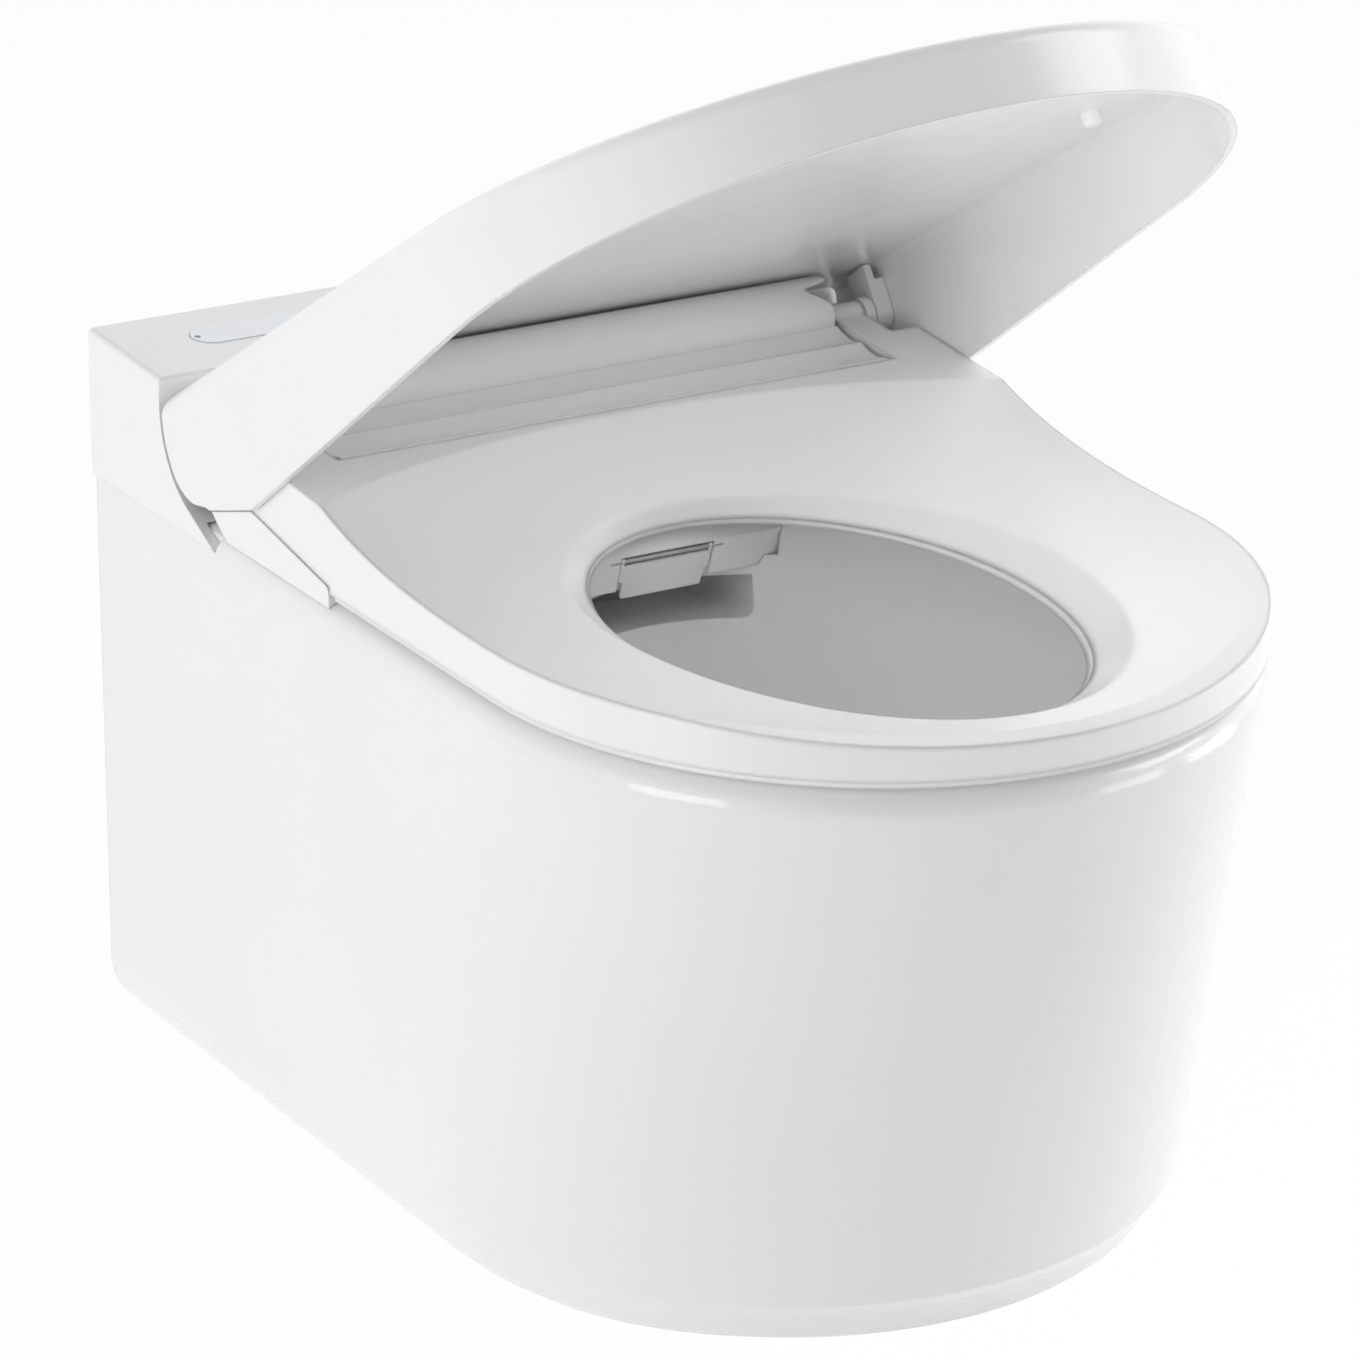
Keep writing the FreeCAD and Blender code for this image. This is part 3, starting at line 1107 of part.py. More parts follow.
def nozzle_guide():
    """The sleeve and tray that the arm slides in."""
    start = ARM_CROSSING - ARM_OUT * GUIDE_START
    sleeve = ring(ARM_RADIUS + GUIDE_WALL, ARM_RADIUS + FIT / 2, start, -ARM_OUT, GUIDE_LENGTH)
    low = RIM_Z - NOZZLE_POCKET_DROP + FIT
    end = start - ARM_OUT * GUIDE_LENGTH
    keel_half = GUIDE_WALL
    keel = block(-keel_half, keel_half, start.y, end.y, low, start.z - ARM_RADIUS - GUIDE_WALL / 2)
    tray = block(-NOZZLE_POCKET_HALF + FIT, NOZZLE_POCKET_HALF - FIT, start.y, end.y, low, low + GUIDE_WALL)
    lid_sweep = along_x(LID_ARC + 2 * FIT, -HALF_WIDTH, HALF_WIDTH, HINGE)
    return sleeve.fuse(keel).fuse(tray).cut(lid_sweep).removeSplitter()


def arm_motor():
    """The small motor that drives the arm, beside the sleeve."""
    start = ARM_CROSSING - ARM_OUT * (GUIDE_START + GUIDE_LENGTH / 2)
    low = RIM_Z - NOZZLE_POCKET_DROP + FIT + GUIDE_WALL
    x0 = ARM_RADIUS + GUIDE_WALL + FIT
    x1 = NOZZLE_POCKET_HALF - 2 * FIT
    half = (x1 - x0) / 2
    can = rounded_block(x0, x1, start.y - half, start.y + half, low + FIT, low + MOTOR_HEIGHT, GUIDE_WALL)
    return can


# Base plate and what it carries
def base_plate():
    """The plate that is bolted to the ceramic and carries the whole seat unit."""
    plate = block(-PLATE_HALF, PLATE_HALF, -PLATE_FRONT, -PLATE_REAR, PLATE_Z, PLATE_Z + PLATE_THICKNESS)
    arm = block(PLATE_ARM_INNER, PLATE_ARM_OUTER, -BLOCK_FRONT, -PLATE_FRONT + OVERRUN,
                PLATE_Z, PLATE_Z + PLATE_THICKNESS)
    plate = plate.fuse(arm).fuse(mirror_x(arm)).removeSplitter()
    slot = block(-NOZZLE_POCKET_HALF, NOZZLE_POCKET_HALF, -PLATE_FRONT - OVERRUN, -NOZZLE_POCKET_REAR,
                 RIM_Z, HINGE_Z)
    plate = plate.cut(slot)
    for x in (-SEAT_BOLT_X, SEAT_BOLT_X):
        hole_start = V(x, -SEAT_BOLT_Y, RIM_Z - OVERRUN)
        plate = plate.cut(Part.makeCylinder(SEAT_BOLT_RADIUS + FIT, 2 * OVERRUN, hole_start))
    return plate


def base_bolts():
    """Bolts through the plate with the expanding plugs below the deck."""
    x = SEAT_BOLT_X
    top = PLATE_Z + PLATE_THICKNESS
    head = Part.makeCylinder(SEAT_BOLT_HEAD, SEAT_BOLT_HEAD_HEIGHT, V(x, -SEAT_BOLT_Y, top))
    shank = Part.makeCylinder(SEAT_BOLT_RADIUS, top - RIM_Z + PLUG_LENGTH, V(x, -SEAT_BOLT_Y, top), -Z_AXIS)
    plug = Part.makeCylinder(SEAT_HOLE_RADIUS - PIN_FIT, PLUG_LENGTH, V(x, -SEAT_BOLT_Y, RIM_Z - FIT), -Z_AXIS)
    return both_sides(head.fuse(shank).fuse(plug).removeSplitter())


REAR_Y = -HOUSING_WALL - INNER_GAP
CONNECTION_Z = RIM_Z + CONNECTION_RISE


def inlet_valve():
    """The water inlet valve with its threaded stub in the service gap."""
    body = rounded_block(VALVE_X - VALVE_HALF, VALVE_X + VALVE_HALF, REAR_Y - VALVE_REACH,
                         REAR_Y - VALVE_DEPTH / 2, CARRY_Z, CONNECTION_Z + WATER_THREAD, PART_ROUND)
    stub = Part.makeCylinder(WATER_THREAD, VALVE_DEPTH, V(VALVE_X, -SERVICE_SETBACK, CONNECTION_Z), -Y_AXIS)
    bore = Part.makeCylinder(WATER_BORE, VALVE_DEPTH - WATER_BORE, V(VALVE_X, 0, CONNECTION_Z), -Y_AXIS)
    return body.fuse(stub).cut(bore).removeSplitter()


def power_module():
    """The power supply in its case."""
    return rounded_block(POWER_X - POWER_HALF, POWER_X + POWER_HALF, REAR_Y - VALVE_DEPTH / 2 - POWER_DEPTH,
                         REAR_Y - VALVE_DEPTH / 2, CARRY_Z, CONNECTION_Z + GLAND_RADIUS, PART_ROUND)


def power_gland():
    """The gland that the power cord enters through."""
    length = -REAR_Y + VALVE_DEPTH / 2 - SERVICE_SETBACK - INNER_GAP
    return ring(GLAND_RADIUS, GLAND_BORE, V(POWER_X, -SERVICE_SETBACK, CONNECTION_Z), -Y_AXIS, length)


def water_heater():
    """The flow heater for the wash water."""
    return rounded_block(HEATER_X - HEATER_HALF, HEATER_X + HEATER_HALF, REAR_Y - VALVE_DEPTH / 2 - HEATER_DEPTH,
                         REAR_Y - VALVE_DEPTH / 2, CARRY_Z, CARRY_Z + HEATER_HEIGHT, PART_ROUND)


def water_pump():
    """The wash water pump, a round body on a flat foot."""
    z = CARRY_Z + PUMP_RADIUS
    start = V(PUMP_X, REAR_Y - VALVE_DEPTH / 2, z)
    body = Part.makeCylinder(PUMP_RADIUS, PUMP_LENGTH, start, -Y_AXIS)
    foot = block(PUMP_X - PUMP_RADIUS, PUMP_X + PUMP_RADIUS, start.y - PUMP_LENGTH, start.y, CARRY_Z,
                 CARRY_Z + PUMP_RISE)
    return body.fuse(foot).removeSplitter()


def control_board():
    """The circuit board under the panel, on four posts."""
    z = -HOUSING_WALL - INNER_GAP
    x0 = PANEL_CENTRE_X - BOARD_LENGTH / 2
    board = block(x0, x0 + BOARD_LENGTH, -PANEL_Y - BOARD_WIDTH / 2, -PANEL_Y + BOARD_WIDTH / 2,
                  z - BOARD_DROP - BOARD_THICKNESS, z - BOARD_DROP)
    for x in (x0 + 2 * STANDOFF_RADIUS, x0 + BOARD_LENGTH - 2 * STANDOFF_RADIUS):
        for y in (-PANEL_Y - BOARD_WIDTH / 2 + 2 * STANDOFF_RADIUS, -PANEL_Y + BOARD_WIDTH / 2 - 2 * STANDOFF_RADIUS):
            board = board.fuse(Part.makeCylinder(STANDOFF_RADIUS, BOARD_DROP + STANDOFF_RADIUS / 2,
                                                 V(x, y, z - BOARD_DROP - STANDOFF_RADIUS / 2)))
    board = board.cut(block(-WIDTH, WIDTH, -WIDTH, WIDTH, z, OVERRUN))
    return on_top(board)


def hose(points):
    """A bent water hose, one wall with its bore."""
    bends = [HOSE_BEND for _ in points[1:-1]]
    return pipe(points, bends, HOSE_RADIUS).cut(pipe(points, bends, HOSE_RADIUS - HOSE_WALL))


def valve_hose():
    """From the valve to the pump."""
    z = CARRY_Z + PUMP_RADIUS
    valve_front = REAR_Y - VALVE_REACH - INNER_GAP
    y = valve_front - HOSE_BEND - INNER_GAP
    return hose([
        V(VALVE_X, valve_front, z),
        V(VALVE_X, y, z),
        V(PUMP_X + PUMP_RADIUS + INNER_GAP, y, z),
    ])


def heater_hose():
    """From the heater down into the slot and on to the arm's guide."""
    x = NOZZLE_POCKET_HALF / 2
    heater_front = REAR_Y - VALVE_DEPTH / 2 - HEATER_DEPTH - INNER_GAP
    y = heater_front - HOSE_BEND - INNER_GAP
    z = CARRY_Z + HOSE_RISE
    low_z = RIM_Z - NOZZLE_POCKET_DROP + HOSE_RADIUS + INNER_GAP
    guide_rear = ARM_CROSSING.y + (GUIDE_START + GUIDE_LENGTH) * math.cos(math.radians(ARM_ANGLE))
    return hose([
        V(HEATER_X - HEATER_HALF / 2, heater_front, z),
        V(HEATER_X - HEATER_HALF / 2, y, z),
        V(x, y, z),
        V(x, y, low_z),
        V(x, guide_rear + INNER_GAP, low_z),
    ])


NODES = {
    "ceramic_bowl": ceramic_bowl,
    "wall_mat": wall_mat,
    "wall_sleeves": wall_sleeves,
    "rear_housing": rear_housing,
    "control_panel": control_panel,
    "panel_sensor": lambda: sensor_form(0),
    "hinge_block_right": hinge_block,
    "hinge_block_left": lambda: mirror_x(hinge_block()),
    "hinge_pins": hinge_pins,
    "hinge_cover": hinge_cover,
    "hinge_apron": hinge_apron,
    "lid_damper": lambda: damper(1),
    "seat_damper": lambda: damper(-1),
    "lid_shell": lid_shell,
    "lid_lug_right": lid_lug,
    "lid_lug_left": lambda: mirror_x(lid_lug()),
    "lid_bushes": lambda: both_sides(lid_bush()),
    "lid_bumpers": lid_bumpers,
    "seat_shell": seat_shell,
    "seat_base": seat_base,
    "seat_heater": seat_heater,
    "seat_buffers": seat_buffers,
    "seat_bushes": seat_bushes,
    "nozzle_housing": nozzle_housing,
    "nozzle_flap": nozzle_flap,
    "flap_pin": flap_pin,
    "spray_arm": spray_arm,
    "spray_tip": spray_tip,
    "nozzle_guide": nozzle_guide,
    "arm_motor": arm_motor,
    "base_plate": base_plate,
    "base_bolts": base_bolts,
    "inlet_valve": inlet_valve,
    "power_module": power_module,
    "power_gland": power_gland,
    "water_heater": water_heater,
    "water_pump": water_pump,
    "control_board": control_board,
    "valve_hose": valve_hose,
    "heater_hose": heater_hose,
}


def main():
    """Build every piece and write it as its own file."""
    os.makedirs("parts", exist_ok=True)
    for name, build in NODES.items():
        shape = build()
        shape.exportStep("parts/" + name + ".step")
        print(name, len(shape.Solids), round(shape.Volume / 1000, 2), shape.isValid())


main()
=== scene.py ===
# %% [markdown]
# A wall-hung bidet toilet with its lid ajar, dressed over a fixed frame.
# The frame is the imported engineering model: every solid already sits where it belongs, in metres.
# Blender's task here is looks: finer surfaces for the mouldings, and finishes for glaze, plastic, rubber and steel.

# %% Load the frame
import bpy
import bmesh
import math
import numpy as np
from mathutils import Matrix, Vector


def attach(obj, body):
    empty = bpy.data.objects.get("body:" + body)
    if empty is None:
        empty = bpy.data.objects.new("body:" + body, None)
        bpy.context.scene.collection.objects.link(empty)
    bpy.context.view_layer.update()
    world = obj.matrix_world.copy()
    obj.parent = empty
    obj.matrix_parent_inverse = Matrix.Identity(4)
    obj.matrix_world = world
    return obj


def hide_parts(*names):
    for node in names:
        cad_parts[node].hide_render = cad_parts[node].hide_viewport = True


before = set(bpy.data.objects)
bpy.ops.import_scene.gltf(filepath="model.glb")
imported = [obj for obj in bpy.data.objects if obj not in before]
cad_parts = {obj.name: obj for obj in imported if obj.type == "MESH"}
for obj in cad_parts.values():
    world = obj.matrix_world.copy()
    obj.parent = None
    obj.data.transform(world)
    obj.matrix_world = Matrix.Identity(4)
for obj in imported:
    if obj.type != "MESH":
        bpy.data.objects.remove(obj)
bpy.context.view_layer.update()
print("solids:", len(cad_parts))

# %% [markdown]
# The camera stands where the photographer's long lens stood: to the left of the object and a little above it.
# A long lens a few metres away keeps parallel edges almost parallel, as they are in the picture.
# The place was found by fitting the edges of the pan, the seat and the lid, so it isn't round numbers.

# %% Camera
CAMERA_TURN = math.radians(-30.05)
CAMERA_RISE = math.radians(20.70)
CAMERA_REACH = 3.2008
LOOK_AT = Vector((-0.03352, -0.300, 0.03436))
SENSOR = 36.0
FOCAL_PIXELS = 6954.1
FRAME_PIXELS = 1360

towards_camera = Vector((
    math.sin(CAMERA_TURN) * math.cos(CAMERA_RISE),
    -math.cos(CAMERA_TURN) * math.cos(CAMERA_RISE),
    math.sin(CAMERA_RISE),
))
lens = bpy.data.cameras.new("camera")
lens.sensor_width = SENSOR
lens.lens = SENSOR * FOCAL_PIXELS / FRAME_PIXELS
lens.clip_end = 100.0
camera = bpy.data.objects.new("camera", lens)
camera.location = LOOK_AT + towards_camera * CAMERA_REACH
camera.rotation_euler = towards_camera.to_track_quat("Z", "Y").to_euler()
bpy.context.scene.collection.objects.link(camera)
bpy.context.scene.camera = camera
print("lens", round(lens.lens, 1), "mm")

# %% [markdown]
# Finishes are built from three small effects that every material shares.
# Each one is a node group: it reads the place on the object and puts out a colour, a value or a height.
# The shader itself stays in each material, so that its gloss is a plain number there.

# %% Shared effects
def new_group(name, inputs, outputs):
    """An empty node group with the named inputs (kind, default) and outputs (kind)."""
    group = bpy.data.node_groups.new(name, "ShaderNodeTree")
    for title, (kind, value) in inputs.items():
        socket = group.interface.new_socket(title, in_out="INPUT", socket_type="NodeSocket" + kind)
        socket.default_value = value
    for title, kind in outputs.items():
        group.interface.new_socket(title, in_out="OUTPUT", socket_type="NodeSocket" + kind)
    return group, group.nodes.new("NodeGroupInput"), group.nodes.new("NodeGroupOutput")


def put(tree, kind, links=(), **settings):
    """One node of that kind, with its settings, and its inputs joined or set from (input, value or socket) pairs."""
    node = tree.nodes.new(kind)
    for key, value in settings.items():
        setattr(node, key, value)
    for key, value in links:
        if isinstance(value, bpy.types.NodeSocket):
            tree.links.new(value, node.inputs[key])
        else:
            node.inputs[key].default_value = value
    return node


# Cloudy tint: the colour drifts a little between two near shades, as glaze and moulded plastic do.
cloudy, start, end = new_group(
    "cloudy_tint",
    {"Place": ("Vector", (0, 0, 0)), "Colour": ("Color", (1, 1, 1, 1)), "Shade": ("Color", (1, 1, 1, 1)),
     "Fineness": ("Float", 9.0)},
    {"Colour": "Color"},
)
clouds = put(cloudy, "ShaderNodeTexNoise", [("Vector", start.outputs["Place"]), ("Scale", start.outputs["Fineness"]),
                                            ("Detail", 3.0), ("Roughness", 0.45)])
soft = put(cloudy, "ShaderNodeMapRange", [("Value", clouds.outputs["Fac"]), ("From Min", 0.35), ("From Max", 0.65)],
           interpolation_type="SMOOTHSTEP")
mixed = put(cloudy, "ShaderNodeMix", [(0, soft.outputs["Result"]), (6, start.outputs["Colour"]),
                                      (7, start.outputs["Shade"])], data_type="RGBA")
cloudy.links.new(mixed.outputs[2], end.inputs["Colour"])

# Wiped gloss: roughness between a low and a high value, in long patches with fine specks, as a cleaned surface has.
wiped, start, end = new_group(
    "wiped_gloss",
    {"Place": ("Vector", (0, 0, 0)), "Low": ("Float", 0.05), "High": ("Float", 0.15), "Fineness": ("Float", 14.0)},
    {"Roughness": "Float"},
)
patches = put(wiped, "ShaderNodeTexNoise", [("Vector", start.outputs["Place"]), ("Scale", start.outputs["Fineness"]),
                                            ("Detail", 5.0), ("Roughness", 0.6), ("Distortion", 0.6)])
gloss = put(wiped, "ShaderNodeMapRange", [("Value", patches.outputs["Fac"]), ("From Min", 0.3), ("From Max", 0.7),
                                          ("To Min", start.outputs["Low"]), ("To Max", start.outputs["High"])])
wiped.links.new(gloss.outputs["Result"], end.inputs["Roughness"])

# Fine grain: a height of small round specks over a slow wave, for the skin of a moulding or the ripple of a glaze.
grain, start, end = new_group(
    "fine_grain",
    {"Place": ("Vector", (0, 0, 0)), "Speck": ("Float", 1200.0), "Wave": ("Float", 30.0), "Share": ("Float", 0.5)},
    {"Height": "Float"},
)
specks = put(grain, "ShaderNodeTexNoise", [("Vector", start.outputs["Place"]), ("Scale", start.outputs["Speck"]),
                                           ("Detail", 1.0)])
waves = put(grain, "ShaderNodeTexNoise", [("Vector", start.outputs["Place"]), ("Scale", start.outputs["Wave"]),
                                          ("Detail", 2.0)])
height = put(grain, "ShaderNodeMix", [(0, start.outputs["Share"]), (2, waves.outputs["Fac"]),
                                      (3, specks.outputs["Fac"])])
grain.links.new(height.outputs[0], end.inputs["Height"])

print("effects:", [g.name for g in bpy.data.node_groups])


# %% [markdown]
# A finish is one material: a Principled shader whose colour, roughness and bump come from the effects above.
# The bevel node softens the look of hard edges by the radius that the real mouldings and castings have.
# The seat's own plastic has a wider one, because its edges are the softest on the object.

# %% Finishes
MM_PER_METRE = 1000
COAT_ROUGHNESS = 0.04


def finish(name, colour, shade, low, high, speck=1200.0, wave=30.0, share=0.5, depth=0.02, edge=0.0012,
           clouds=9.0, coat=0.0, metal=0.0, gloss=0.5):
    """A material with a cloudy colour, a wiped gloss, a grain's depth in mm and a soft edge's radius in metres."""
    material = bpy.data.materials.new(name)
    material.use_nodes = True
    tree = material.node_tree
    shader = tree.nodes["Principled BSDF"]
    place = tree.nodes.new("ShaderNodeTexCoord").outputs["Object"]
    tint = put(tree, "ShaderNodeGroup", node_tree=cloudy)
    tint.inputs["Colour"].default_value = (*colour, 1)
    tint.inputs["Shade"].default_value = (*shade, 1)
    tint.inputs["Fineness"].default_value = clouds
    wipe = put(tree, "ShaderNodeGroup", node_tree=wiped)
    wipe.inputs["Low"].default_value = low
    wipe.inputs["High"].default_value = high
    skin = put(tree, "ShaderNodeGroup", node_tree=grain)
    skin.inputs["Speck"].default_value = speck
    skin.inputs["Wave"].default_value = wave
    skin.inputs["Share"].default_value = share
    for group in (tint, wipe, skin):
        tree.links.new(place, group.inputs["Place"])
    rounded = put(tree, "ShaderNodeBevel", [("Radius", edge)], samples=4)
    bump = put(tree, "ShaderNodeBump", [("Height", skin.outputs["Height"]), ("Strength", 1.0),
                                        ("Distance", depth / MM_PER_METRE), ("Normal", rounded.outputs["Normal"])])
    tree.links.new(tint.outputs["Colour"], shader.inputs["Base Color"])
    tree.links.new(wipe.outputs["Roughness"], shader.inputs["Roughness"])
    tree.links.new(bump.outputs["Normal"], shader.inputs["Normal"])
    shader.inputs["Metallic"].default_value = metal
    shader.inputs["Coat Weight"].default_value = coat
    shader.inputs["Coat Roughness"].default_value = COAT_ROUGHNESS
    shader.inputs["Specular IOR Level"].default_value = gloss
    return material


FINISHES = {
    "white_ceramic": finish("glazed_ceramic", (0.910, 0.912, 0.910), (0.895, 0.899, 0.899), 0.10, 0.16,
                            wave=22.0, share=0.04, depth=0.05, edge=0.0016, clouds=6.0, coat=0.3),
    "white_plastic": finish("gloss_white_plastic", (0.950, 0.951, 0.950), (0.938, 0.940, 0.940), 0.16, 0.24,
                            wave=16.0, share=0.15, depth=0.02, edge=0.0010, clouds=5.0),
    "seat_plastic": finish("seat_plastic", (0.950, 0.951, 0.950), (0.938, 0.940, 0.940), 0.18, 0.26,
                           wave=16.0, share=0.15, depth=0.02, edge=0.0042, clouds=5.0),
    "grey_plastic": finish("matt_grey_plastic", (0.42, 0.43, 0.44), (0.38, 0.39, 0.40), 0.38, 0.52,
                           speck=900.0, share=0.8, depth=0.05, clouds=20.0),
    "dark_plastic": finish("matt_dark_plastic", (0.045, 0.046, 0.050), (0.032, 0.033, 0.036), 0.40, 0.55,
                           speck=900.0, share=0.8, depth=0.05, clouds=20.0),
    "clear_panel": finish("bluish_touch_strip", (0.840, 0.875, 0.905), (0.825, 0.862, 0.895), 0.06, 0.10,
                          share=0.1, depth=0.004, edge=0.0004, coat=0.6),
    "black_gloss": finish("black_gloss", (0.020, 0.021, 0.024), (0.014, 0.015, 0.017), 0.06, 0.12,
                          share=0.1, depth=0.004, edge=0.0003, coat=0.5),
    "white_rubber": finish("white_rubber", (0.72, 0.72, 0.70), (0.66, 0.66, 0.64), 0.50, 0.66,
                           speck=700.0, share=0.7, depth=0.06, clouds=30.0, gloss=0.35),
    "foam": finish("grey_foam", (0.30, 0.30, 0.31), (0.22, 0.22, 0.23), 0.80, 0.95,
                   speck=600.0, share=0.9, depth=0.40, clouds=60.0, gloss=0.2),
    "steel": finish("drawn_steel", (0.62, 0.62, 0.62), (0.54, 0.54, 0.54), 0.22, 0.36,
                    speck=500.0, share=0.6, depth=0.02, metal=1.0, clouds=40.0),
    "board": finish("green_board", (0.045, 0.180, 0.085), (0.035, 0.150, 0.070), 0.35, 0.50,
                    speck=500.0, share=0.6, depth=0.05, clouds=60.0),
    "foil": finish("copper_foil", (0.62, 0.36, 0.22), (0.54, 0.30, 0.18), 0.30, 0.45,
                   speck=800.0, share=0.6, depth=0.03, metal=0.8, clouds=50.0),
}
print("finishes:", sorted(FINISHES))

# %% [markdown]
# Every solid of the frame gets the finish that its record names, and the seat's two mouldings get the softer edge.

# %% Dress the solids
SOFT_EDGED = ("seat_shell", "seat_base")
dressed = 0
for name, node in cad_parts.items():
    for place in node.material_slots:
        kind = place.material.name.split(".")[0] if place.material else "white_plastic"
        if name in SOFT_EDGED and kind == "white_plastic":
            kind = "seat_plastic"
        if kind in FINISHES:
            place.material = FINISHES[kind]
            dressed += 1
print("slots dressed:", dressed, "of", sum(len(n.material_slots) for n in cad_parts.values()))

# %% [markdown]
# Some mouldings look finer in the picture than their plain solids, so each of these gets a surface of its own.
# Every surface is a grid of points with two parameters, one around a profile and one along it.
# Lengths are written in millimetres here, and turned into metres when the mesh is made.

# %% Surface tools
HINGE_Y, HINGE_Z = -124.5, 129.0
LID_OPEN = math.radians(35.4)
MERGE_REACH, LEAST_EDGE = 1e-6, 1e-7
SHARP_TURN = math.radians(40)
SOFT_END_SHARE = 0.3


def surface_piece(name, grids, body, material, stands_for=()):
    """One mesh from (rows, columns, 3) grids, each closed around its columns, with its poles and ends merged."""
    points, faces, first = [], [], 0
    for grid in grids:
        rows, columns = grid.shape[:2]
        row, column = np.meshgrid(np.arange(rows - 1), np.arange(columns), indexing="ij")
        after = (column + 1) % columns
        corners = [row * columns + column, row * columns + after,
                   (row + 1) * columns + after, (row + 1) * columns + column]
        faces.append(np.stack(corners, axis=-1).reshape(-1, 4) + first)
        points.append(grid.reshape(-1, 3) / MM_PER_METRE)
        first += rows * columns
    mesh = bpy.data.meshes.new(name)
    mesh.from_pydata(np.concatenate(points), [], np.concatenate(faces).tolist())
    skin = bmesh.new()
    skin.from_mesh(mesh)
    bmesh.ops.remove_doubles(skin, verts=skin.verts, dist=MERGE_REACH)
    bmesh.ops.dissolve_degenerate(skin, edges=skin.edges, dist=LEAST_EDGE)
    bmesh.ops.recalc_face_normals(skin, faces=skin.faces)
    skin.to_mesh(mesh)
    skin.free()
    mesh.polygons.foreach_set("use_smooth", np.ones(len(mesh.polygons), bool))
    mesh.set_sharp_from_angle(angle=SHARP_TURN)
    mesh.materials.append(material)
    piece = bpy.data.objects.new(name, mesh)
    bpy.context.scene.collection.objects.link(piece)
    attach(piece, body)
    if stands_for:
        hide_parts(*stands_for)
    print(name, len(mesh.vertices), "points")


def rounded_loop(corners, radii, steps=6):
    """A closed line along 2-D corners, each rounded by a parabola between the ends of an arc of its radius."""
    corners = np.array(corners, float)
    before, after = np.roll(corners, 1, axis=0), np.roll(corners, -1, axis=0)
    share = np.linspace(0, 1, steps)
    line = []
    for corner, last, following, radius in zip(corners, before, after, radii):
        arriving = (corner - last) / np.linalg.norm(corner - last)
        leaving = (following - corner) / np.linalg.norm(following - corner)
        bend = math.acos(float(np.clip(arriving @ leaving, -1, 1)))
        reach = radius * math.tan(bend / 2)
        start, end = corner - arriving * reach, corner + leaving * reach
        line.append(((1 - share) ** 2)[:, None] * start + (2 * share * (1 - share))[:, None] * corner
                    + (share ** 2)[:, None] * end)
    return np.concatenate(line)


def bar_along_x(loop, x0, x1, edge=0.6):
    """A loop of (y, z) points swept along X, its ends drawn in to the loop's middle line over a small soft edge."""
    middle = (loop + loop[::-1]) / 2
    inwards = loop.mean(axis=0) - loop
    inset = loop + inwards / np.maximum(np.linalg.norm(inwards, axis=1, keepdims=True), MERGE_REACH) * edge
    eased, easing = loop + (inset - loop) * SOFT_END_SHARE, edge * SOFT_END_SHARE
    stations = [(x0, middle), (x0, inset), (x0 + easing, eased), (x0 + edge, loop),
                (x1 - edge, loop), (x1 - easing, eased), (x1, inset), (x1, middle)]
    return np.stack([np.column_stack([np.full(len(ring), x), ring]) for x, ring in stations])


# %% [markdown]
# The hinge cover is a long roll between the seat's ears, and two legs carry it on the deck.
# Its ends aren't cut square: a lip stays at the top, a notch is cut in front of it, and the rest bellies out again.
# The strip in front of it has two shallow flutes and turns down into a skirt behind the seat.

# %% Hinge cover and its fluted strip
ROLL_Y, ROLL_Z, ROLL_RADIUS, ROLL_HALF = -120.5, 133.3, 17.8, 147.6
NOTCH_DEPTH, LIP_REACH = 11.6, 2.9
NOTCH_TURN, NOTCH_ABOVE, NOTCH_BELOW = 64.0, 20.0, 42.0
ROLL_TURNS = 144
# The roll's end from its middle to its skin: shares of the radius, and how far the face is set back there.
ROLL_END = [(0.0, -9.0), (0.80, -9.0), (0.86, -8.0), (0.88, -1.0),
            (0.90, -0.2), (0.95, 0.0), (0.985, -0.3), (1.0, -1.2)]
ROLL_STATION_SHARES = np.linspace(0.9, -0.9, 19)

STRIP_REAR_Y, STRIP_FRONT_Y, STRIP_REAR_Z, STRIP_FRONT_Z = -137.6, -186.5, 131.5, 128.0
STRIP_HALF, STRIP_EDGE = 148.0, 0.5
FLUTE_START_SHARE, FLUTE_END_SHARE, FLUTES = 0.03, 0.955, 2
FLUTE_DEPTH, FLUTE_POWER = 2.4, 0.8
# The strip's other points, as (y, z): down its skirt's front, up the skirt's back, and up its rear edge.
SKIRT_FRONT = [(-186.15, 127.85), (-186.5, 127.2), (-186.5, 120.0),
               (-186.5, 110.0), (-186.5, 102.6), (-186.2, 102.0)]
SKIRT_BACK = [(-183.8, 102.0), (-183.5, 102.6), (-183.5, 112.0), (-183.5, 123.0)]
UNDER_FRONT_Y, UNDER_REAR_Y, UNDER_Z = -182.5, -138.6, 124.0
STRIP_REAR = [(-137.6, 124.6), (-137.6, 127.0), (-137.6, 129.5), (-137.6, 131.0)]

LEG_LOW_Z, LEG_ROUND = 82.8, 0.8
LEG_SPANS = ((132.3, 147.8), (-147.8, -132.3))
ROLL_LEG = (-137.2, -122.0, ROLL_Z - 6)
STRIP_LEG = (-168.0, -159.0, 125.0)


def smooth_step(value):
    """A step from 0 to 1 with level ends, three times the square less twice the cube."""
    value = np.clip(value, 0, 1)
    return value * value * (3 - 2 * value)


